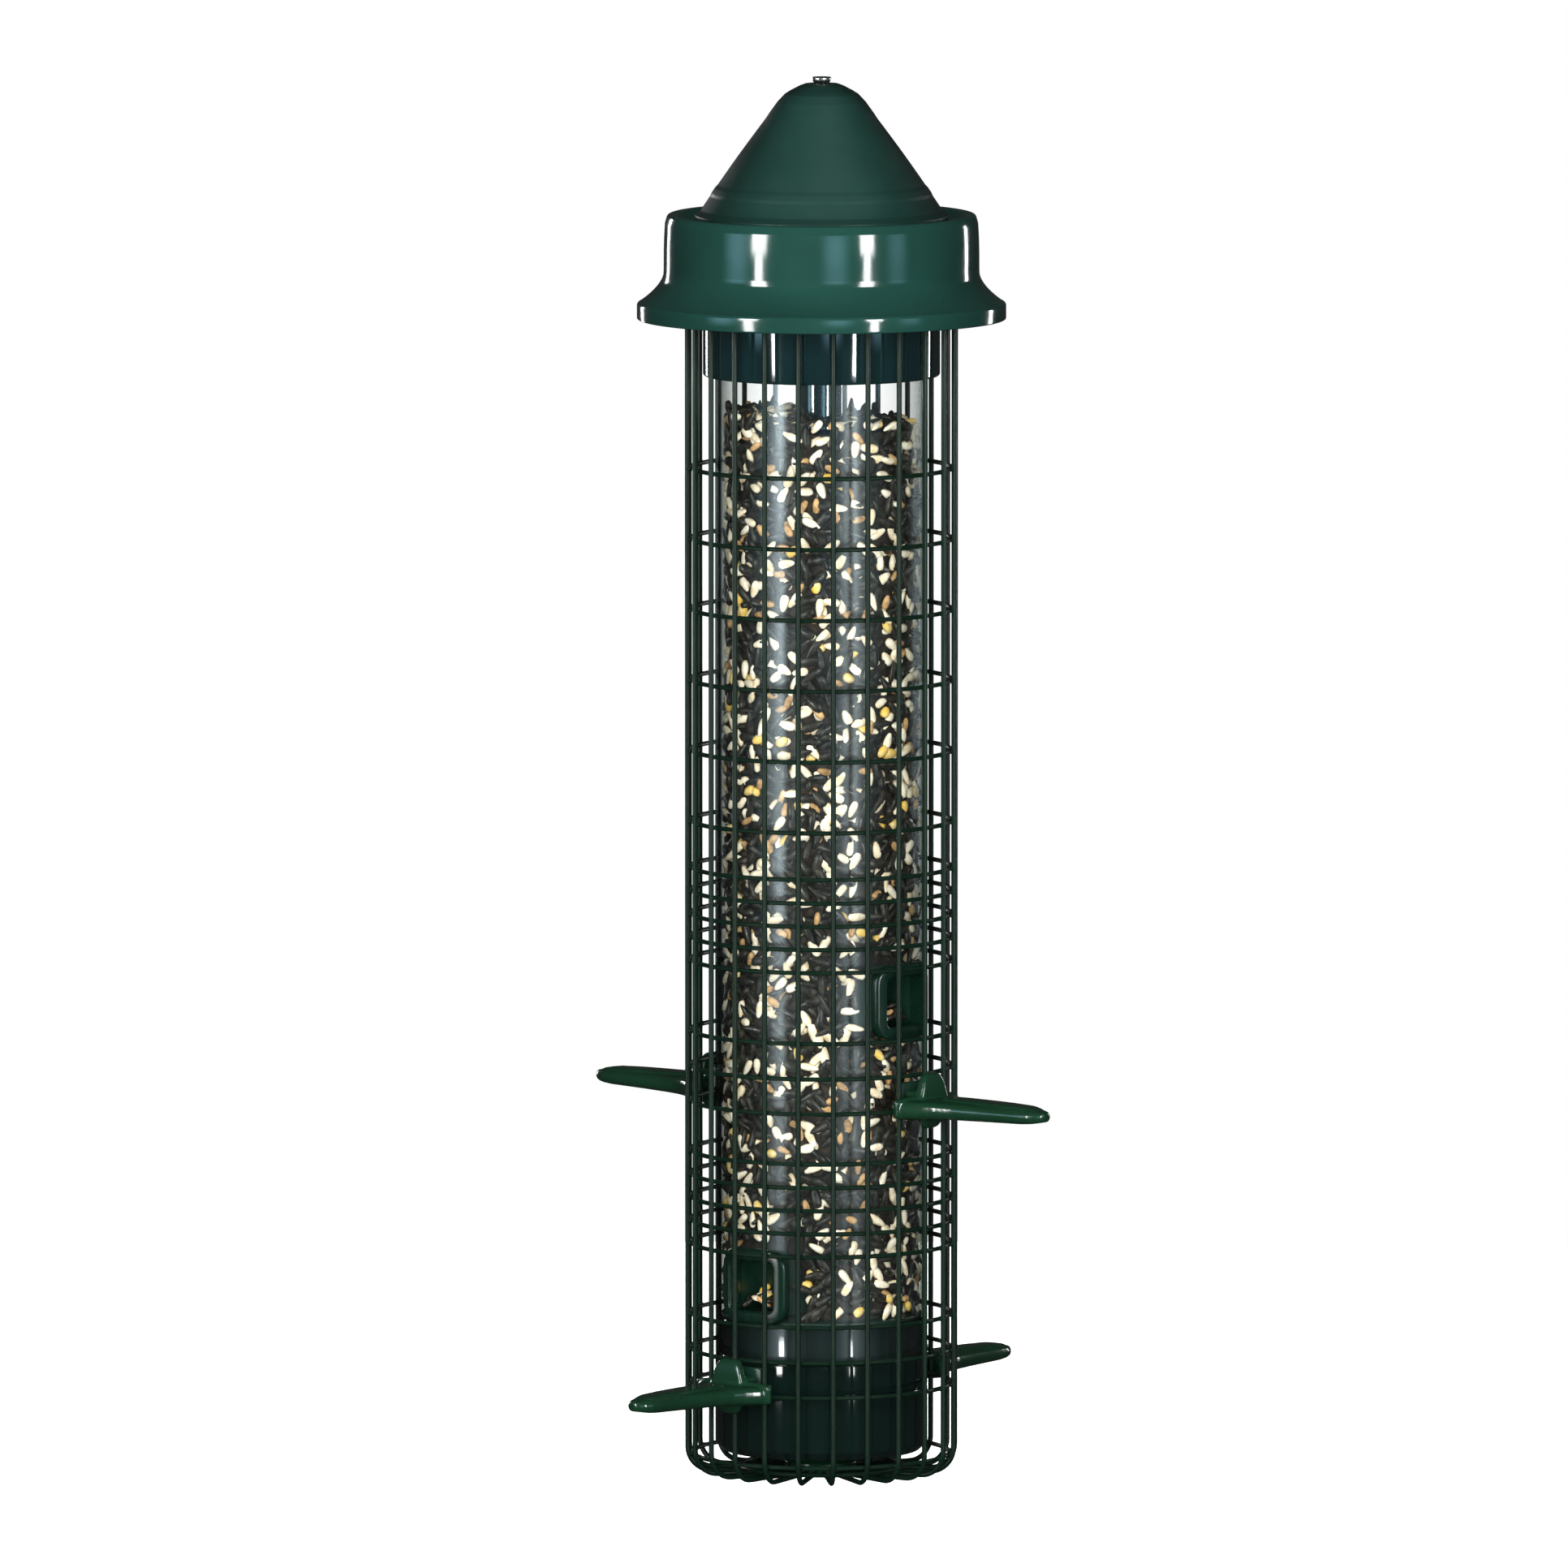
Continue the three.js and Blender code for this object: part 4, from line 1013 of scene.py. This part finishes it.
class FEEDER_OT_lift(bpy.types.Operator):
    """Make the lift rod, its flanged nut, the guide bush and the spring"""
    bl_idname = "feeder.lift"
    bl_label = "Rod and spring"

    def execute(self, context):
        bottom, top = low("lift_rod"), high("lift_rod")
        lathe([
            (0, bottom, 0), (2.0, bottom, 0.3), (2.0, top, 0.4), (0, top, 0),
        ], 32, "rod", "cage", "steel", ["lift_rod"], "steel")
        for node, body in (("rod_nut", "cage"), ("stem_nut", "reservoir")):
            bottom, top = low(node), high(node)
            bore = 2.3 if node == "rod_nut" else 2.8
            foot = [(3.3, bottom), (4.0, bottom + 0.5)]
            if node == "rod_nut":  # flanged
                foot = [
                    (7.1, bottom), (7.5, bottom + 0.4), (7.5, bottom + 1.0), (7.0, bottom + 1.5),
                    (4.1, bottom + 1.7)]
            rings = []
            for r, z in ((bore, bottom), *foot, (4.0, top - 0.5), (3.3, top), (bore, top)):
                ring = []
                for k in range(48):
                    angle = TURN * k / 48
                    flat = 3.46 / math.cos((angle + math.pi / 6) % (math.pi / 3) - math.pi / 6)
                    reach = min(r, flat) if bore < r < 4.05 else r
                    ring.append(polar(reach, angle, z))
                rings.append(ring)
            stand(gathered([skin(rings, closed=True)]), node + "_hex", body, "steel", [node], "steel")
        bottom, top = low("guide_bush"), high("guide_bush")
        flange = low("base_cup") + 2.7
        lathe([
            (2.4, bottom, 0.2), (7.6, bottom, 0.4), (7.6, flange, 0), (11.0, flange, 0.3), (11.0, flange + 1.8, 0.4),
            (7.6, flange + 1.8, 0.5), (7.6, top, 0.5), (2.4, top, 0.3),
        ], 72, "bush", "reservoir", "inner_green", ["guide_bush"], "inner")

        foot, head = low("lift_spring"), high("lift_spring")
        turns, radius, steel = 10, 5.2, 0.7
        rise = head - foot - 2 * steel
        points = []
        count = turns * 28
        for k in range(count + 1):
            t = k / count
            # The end coils close up, as a ground spring's do.
            eased = t - 0.022 * math.sin(TURN * t)
            points.append(polar(radius, TURN * turns * t, foot + steel + rise * eased))
        spring = stand(
            gathered([skin(along(points, steel, 10))]), "spring", "reservoir", "spring_steel",
            ["lift_spring"], "spring")
        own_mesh(spring)

        spider = repaint("fill_spider", "inner")
        soften = spider.modifiers.new("edges", "BEVEL")
        soften.width = 0.4 * MM
        soften.segments = 2
        soften.limit_method = "ANGLE"
        return {"FINISHED"}


# ---- Seed ---------------------------------------------------------------------------------

def seed_form(size, point, sides, rings):
    """A seed's shape: vertices and faces, its long way along X, its flat way along Z."""
    long, wide, thick = (value / 2 for value in size)
    layers = []
    for i in range(1, rings):
        t = i / rings
        x = -math.cos(math.pi * t)
        girth = math.sin(math.pi * t) ** 0.8 * (1 - point * 0.5 * (x + 1))
        layers.append([
            (long * x, wide * girth * math.cos(TURN * j / sides), thick * girth * math.sin(TURN * j / sides))
            for j in range(sides)])
    vertices = [(-long, 0, 0)] + [v for layer in layers for v in layer] + [(long, 0, 0)]
    faces = [(0, 1 + (j + 1) % sides, 1 + j) for j in range(sides)]
    for i in range(len(layers) - 1):
        a, b = 1 + i * sides, 1 + (i + 1) * sides
        faces += [(a + j, a + (j + 1) % sides, b + (j + 1) % sides) for j in range(sides)]
        faces += [(a + j, b + (j + 1) % sides, b + j) for j in range(sides)]
    last, tail = 1 + (len(layers) - 1) * sides, len(vertices) - 1
    faces += [(tail, last + j, last + (j + 1) % sides) for j in range(sides)]
    return np.array(vertices), np.array(faces)


SEEDS = {  # finish: share of the mix, size in millimetres, how pointed, name
    "husk": (0.6, (10.6, 5.6, 3.7), 0.62, "sunflower"),
    "heart": (0.29, (7.9, 4.7, 3.0), 0.45, "hearts"),
    "grain": (0.08, (6.4, 3.6, 3.0), 0.2, "grain"),
    "maize": (0.03, (5.8, 5.0, 3.8), 0.3, "maize"),
}


LYING = 9.0         # marks seed that lies on a level heap, not against the tube
SEED_REACH = 41.75  # how far out seed may go inside the tube
SILL_CEILING = 260  # below it, seed that lies level is on a port's sill


def in_pocket(x, y, z):
    """Whether a point is inside a port's baffle or window."""
    for side, angle in PORTS.items():
        out = x * math.cos(math.radians(angle)) + y * math.sin(math.radians(angle))
        across = -x * math.sin(math.radians(angle)) + y * math.cos(math.radians(angle))
        level = z - port_middle(side)
        if out > 16 and abs(across) < 18.5 and -16 < level < 19:
            return True
    return False


class FEEDER_OT_seed(bpy.types.Operator):
    """Fill the tube with a mix of sunflower seed, hearts, grain and maize"""
    bl_idname = "feeder.seed"
    bl_label = "Seed"

    def execute(self, context):
        settings = context.scene.feeder_seed
        rng = np.random.default_rng(settings.number)
        pitch = settings.pitch / MM
        bottom, top = low("seed_fill"), high("seed_fill")

        # The heap behind the visible seed gives way round each port's baffle.
        levels = [bottom + 0.4 + (top - 8 - bottom) * k / 90 for k in range(91)]
        reach_out, dent, sides = 36.4, 16.4, 120
        outside = []
        for level in levels:
            ring = []
            for k in range(sides):
                angle = TURN * k / sides
                reach = reach_out
                for side, bearing in PORTS.items():
                    apart = abs((math.degrees(angle) - bearing + 180) % 360 - 180)
                    above = abs(level - port_middle(side) - 1.5)
                    near = min(max((42 - apart) / 12, 0), 1) * min(max((23 - above) / 6, 0), 1)
                    reach = min(reach, reach_out - dent * near * near * (3 - 2 * near))
                ring.append(polar(reach, angle, level))
            outside.append(ring)
        core = [around(9.7, level, sides) for level in (levels[-1], levels[0])]
        heap = gathered([skin(outside + core, closed=True)])
        stand(heap, "seed_heap", "reservoir", "seed_mix", ["seed_fill"], "heap")

        def surface(angle, radius):
            """The height of the top of the seed."""
            return top - 1.5 + 2.6 * math.cos(angle - math.radians(215)) * radius / 40 - 1.2

        places = []  # x, y, height, the angle that faces outward, how loosely it lies
        for radius, loose, spacing in ((39.3, 0.22, pitch), (36.8, 0.6, pitch * 1.15)):
            columns = round(TURN * radius / spacing)
            rows = round((top - bottom) / spacing)
            for row in range(rows):
                for column in range(columns):
                    angle = TURN * (column + (row % 2) / 2 + rng.uniform(-0.3, 0.3)) / columns
                    height = bottom + 2.5 + (top - bottom) * (row + rng.uniform(-0.3, 0.3)) / rows
                    x, y = radius * math.cos(angle), radius * math.sin(angle)
                    if height > surface(angle, radius) or height < bottom + 2.2 or in_pocket(x, y, height):
                        continue
                    places.append((x, y, height, angle, loose))
        spacing = pitch * 1.05
        for i in range(-8, 9):
            for j in range(-8, 9):
                x, y = (i + rng.uniform(-0.3, 0.3)) * spacing, (j + rng.uniform(-0.3, 0.3)) * spacing
                radius = math.hypot(x, y)
                if 13.5 < radius < 37:
                    angle = math.atan2(y, x)
                    places.append((x, y, surface(angle, radius) - 0.5, angle, LYING))
        for side, angle in PORTS.items():
            face = math.radians(angle)
            for _ in range(16):
                out, across = rng.uniform(27, 40.5), rng.uniform(-7.5, 7.5)
                x = out * math.cos(face) - across * math.sin(face)
                y = out * math.sin(face) + across * math.cos(face)
                z = port_middle(side) - 8.0 + rng.uniform(0, 2.2) + (40 - out) * 0.25
                places.append((x, y, z, face, LYING))

        kinds = list(SEEDS)
        chances = np.array([SEEDS[kind][0] for kind in kinds])
        picks = rng.choice(len(kinds), size=len(places), p=chances / chances.sum())
        for index, kind in enumerate(kinds):
            _, size, point, name = SEEDS[kind]
            form, form_faces = seed_form(size, point, 8, 6)
            batches_v, batches_f = [], []
            for place in (p for p, pick in zip(places, picks) if pick == index):
                x, y, z, angle, loose = place
                scale = rng.uniform(0.86, 1.1, 3)
                roll = rng.uniform(0, TURN)
                outward = Vector((math.cos(angle), math.sin(angle), 0))
                if loose == LYING:
                    flat = Vector((rng.normal(0, 0.3), rng.normal(0, 0.3), 1)).normalized()
                else:
                    flat = (outward + Vector(rng.normal(0, loose, 3).tolist())).normalized()
                side = flat.cross(Vector((0, 0, 1)) if abs(flat.z) < 0.9 else Vector((1, 0, 0))).normalized()
                other = flat.cross(side)
                lengthwise = math.cos(roll) * side + math.sin(roll) * other
                crosswise = flat.cross(lengthwise)
                basis = np.array([lengthwise, crosswise, flat])
                points = (form * scale) @ basis + np.array([x, y, z])
                reach = np.hypot(points[:, 0], points[:, 1])
                beyond = reach.max() - SEED_REACH
                if beyond > 0 and not (loose == LYING and z < SILL_CEILING):
                    points[:, 0] -= beyond * math.cos(angle)
                    points[:, 1] -= beyond * math.sin(angle)
                batches_f.append(form_faces + len(batches_v) * len(form))
                batches_v.append(points)
            mesh = mesh_of(np.concatenate(batches_v).tolist(), np.concatenate(batches_f).tolist())
            stand(mesh, "seed_" + name, "reservoir", "seed_mix", [], kind, 180)
        return {"FINISHED"}


# ---- Stage --------------------------------------------------------------------------------

def aim(thing, target):
    """Turn a camera or a lamp towards a point."""
    thing.rotation_euler = (Vector(target) - thing.location).to_track_quat("-Z", "Y").to_euler()


def feathered(lamp):
    """Fade a softbox towards its edges."""
    lamp.use_nodes = True
    tree = lamp.node_tree
    tree.nodes.clear()
    across = add(tree, "ShaderNodeSeparateXYZ", {0: add(tree, "ShaderNodeNewGeometry").outputs["Parametric"]})
    strength = 1.8      # makes up for what the fade takes away
    for axis in ("X", "Y"):
        away = add(tree, "ShaderNodeMath", {0: across.outputs[axis], 1: 0.5}, operation="SUBTRACT")
        apart = add(tree, "ShaderNodeMath", {0: away.outputs["Value"]}, operation="ABSOLUTE")
        fade = add(tree, "ShaderNodeMapRange", {
            "Value": apart.outputs["Value"], "From Min": 0.5, "From Max": 0.05, "To Min": 0.0, "To Max": 1.0},
            interpolation_type="SMOOTHSTEP")
        strength = add(tree, "ShaderNodeMath", {0: strength, 1: fade.outputs["Result"]},
                       operation="MULTIPLY").outputs["Value"]
    light = add(tree, "ShaderNodeEmission", {"Strength": strength})
    add(tree, "ShaderNodeOutputLight", {"Surface": light.outputs["Emission"]})


class FEEDER_OT_stage(bpy.types.Operator):
    """Set the camera, the softboxes, the room light and the floor"""
    bl_idname = "feeder.stage"
    bl_label = "Stage"

    def execute(self, context):
        scene = context.scene
        settings = scene.feeder_stage
        azimuth, elevation = settings.azimuth, settings.elevation
        toward = Vector((
            math.sin(azimuth) * math.cos(elevation), -math.cos(azimuth) * math.cos(elevation), math.sin(elevation)))
        right = Vector((math.cos(azimuth), math.sin(azimuth), 0))
        look_height, look_left, sensor = 0.2872, 0.0155, 36
        target = Vector((0, 0, look_height)) - look_left * right
        lens = bpy.data.cameras.new("camera")
        lens.sensor_width = sensor
        lens.lens = sensor * settings.distance / settings.view_width
        lens.clip_end = 100
        camera = bpy.data.objects.new("camera", lens)
        camera.location = target + toward * settings.distance
        aim(camera, target)
        scene.collection.objects.link(camera)
        scene.camera = camera

        def softbox(
                name, bearing, height, distance, width, tall, energy,
                colour=(1, 1, 1), matt=False, gloss=True):
            """A lamp at a bearing from the camera's direction, in degrees, to the right."""
            lamp = bpy.data.lights.new(name, "AREA")
            lamp.shape = "RECTANGLE"
            lamp.size, lamp.size_y = width, tall
            lamp.energy = energy
            lamp.color = colour
            angle = azimuth - math.pi / 2 + math.radians(bearing)
            holder = bpy.data.objects.new(name, lamp)
            holder.location = (distance * math.cos(angle), distance * math.sin(angle), height)
            aim(holder, (0, 0, 0.3))
            scene.collection.objects.link(holder)
            holder.visible_diffuse, holder.visible_glossy = matt, gloss
            return lamp

        # Broad lamps light the pieces, and narrow ones only draw highlights on gloss walls,
        # wide above and narrow below.
        cool = (0.4, 0.8, 1.0)
        key, fill = settings.key, settings.fill
        softbox("front_softbox", -4, 0.7, 3.0, 2.2, 2.2, settings.front, matt=True, gloss=False)
        softbox("back_softbox", 176, 0.7, 3.0, 2.2, 2.2, settings.front * 0.6, matt=True, gloss=False)
        softbox("top_softbox", 10, 2.6, 0.8, 1.2, 1.2, key, matt=True, gloss=False)
        softbox("key_upper", -46, 0.8, 2.4, 0.5, 0.7, key * 1.3)
        softbox("key_lower", -46, 0.2, 2.4, 0.25, 0.5, key * 0.48)
        softbox("fill_upper", 33, 0.8, 2.4, 0.44, 0.7, key * 1.15)
        softbox("fill_lower", 33, 0.2, 2.4, 0.22, 0.5, key * 0.43)
        softbox("left_rim", -150, 0.45, 2.2, 0.16, 0.8, fill * 0.5)
        softbox("right_rim", 131, 0.45, 2.2, 0.16, 0.8, fill * 0.5)
        for place, bearing, width, share in (
                ("left", -64, 1.3, 0.42), ("middle", 10, 1.2, 0.36), ("right", 56, 1.0, 0.2)):
            feathered(softbox(place + "_cool_panel", bearing, 0.5, 2.6, width, 0.9, fill * share, cool))

        floor = bpy.data.objects.new("floor", turned_floor(settings.floor_drop / MM))
        floor.data.materials.append(painted_floor())
        scene.collection.objects.link(floor)
        floor.visible_diffuse = floor.visible_glossy = False

        world = bpy.data.worlds.new("room")
        scene.world = world
        world.use_nodes = True
        tree = world.node_tree
        tree.nodes.clear()
        path = add(tree, "ShaderNodeLightPath")
        dim = add(tree, "ShaderNodeMix", {
            0: path.outputs["Is Diffuse Ray"], 2: settings.gleam, 3: settings.room})
        strength = add(tree, "ShaderNodeMix", {
            0: path.outputs["Is Camera Ray"], 2: dim.outputs[0], 3: 1.0})
        sky = add(tree, "ShaderNodeBackground", {"Color": (1, 1, 1, 1), "Strength": strength.outputs[0]})
        add(tree, "ShaderNodeOutputWorld", {"Surface": sky.outputs["Background"]})
        scene.view_settings.view_transform = "Standard"
        return {"FINISHED"}


def turned_floor(drop):
    """A round floor with a softened edge, in metres."""
    mesh = turned([
        (0, -drop), (900, -drop), (1500, -drop), (1510, -drop - 4), (1510, -drop - 12), (0, -drop - 12)], 96)
    mesh.transform(Matrix.Scale(MM, 4))
    return mesh


def painted_floor():
    """Matt white studio paint, rolled on: a very fine stipple and no shine."""
    material, tree, place = begin("matt_studio_paint")
    white = linear("#f7f7f5")
    surface = add(tree, "ShaderNodeBsdfPrincipled", {
        "Base Color": mottled(tree, place, white, 60, 0.01),
        "Roughness": 0.9,
        "IOR": 1.45,
        "Specular IOR Level": 0.1,
        "Emission Color": (1.0, 1.0, 1.0, 1.0),
        "Emission Strength": 0.75,
        "Normal": relief(tree, place, 3, 0.05),
    })
    add(tree, "ShaderNodeOutputMaterial", {"Surface": surface.outputs["BSDF"]})
    return material


# ---- Panel and registration ---------------------------------------------------------------

STEPS = (
    FEEDER_OT_stage, FEEDER_OT_finishes, FEEDER_OT_hood, FEEDER_OT_roof, FEEDER_OT_tube, FEEDER_OT_ports,
    FEEDER_OT_base, FEEDER_OT_cage, FEEDER_OT_knob, FEEDER_OT_perches, FEEDER_OT_lift, FEEDER_OT_seed,
)
SETTINGS = {
    "feeder_colours": FeederColours, "feeder_sizes": FeederSizes, "feeder_seed": FeederSeed,
    "feeder_stage": FeederStage,
}


class FEEDER_PT_panel(bpy.types.Panel):
    """Lists the steps that build the feeder"""
    bl_idname = "FEEDER_PT_panel"
    bl_label = "Bird feeder"
    bl_space_type = "VIEW_3D"
    bl_region_type = "UI"
    bl_category = "Feeder"

    def draw(self, context):
        for name, group in SETTINGS.items():
            box = self.layout.box()
            for setting in group.__annotations__:
                box.prop(getattr(context.scene, name), setting)
        for step in STEPS:
            self.layout.operator(step.bl_idname)


def register():
    for group in (*SETTINGS.values(), *STEPS, FEEDER_PT_panel):
        bpy.utils.register_class(group)
    for name, group in SETTINGS.items():
        setattr(bpy.types.Scene, name, bpy.props.PointerProperty(type=group))


def unregister():
    for name in SETTINGS:
        delattr(bpy.types.Scene, name)
    for group in reversed((*SETTINGS.values(), *STEPS, FEEDER_PT_panel)):
        bpy.utils.unregister_class(group)


def main():
    register()
    for step in STEPS:
        group, action = step.bl_idname.split(".")
        getattr(getattr(bpy.ops, group), action)()


if __name__ == "__main__":
    main()
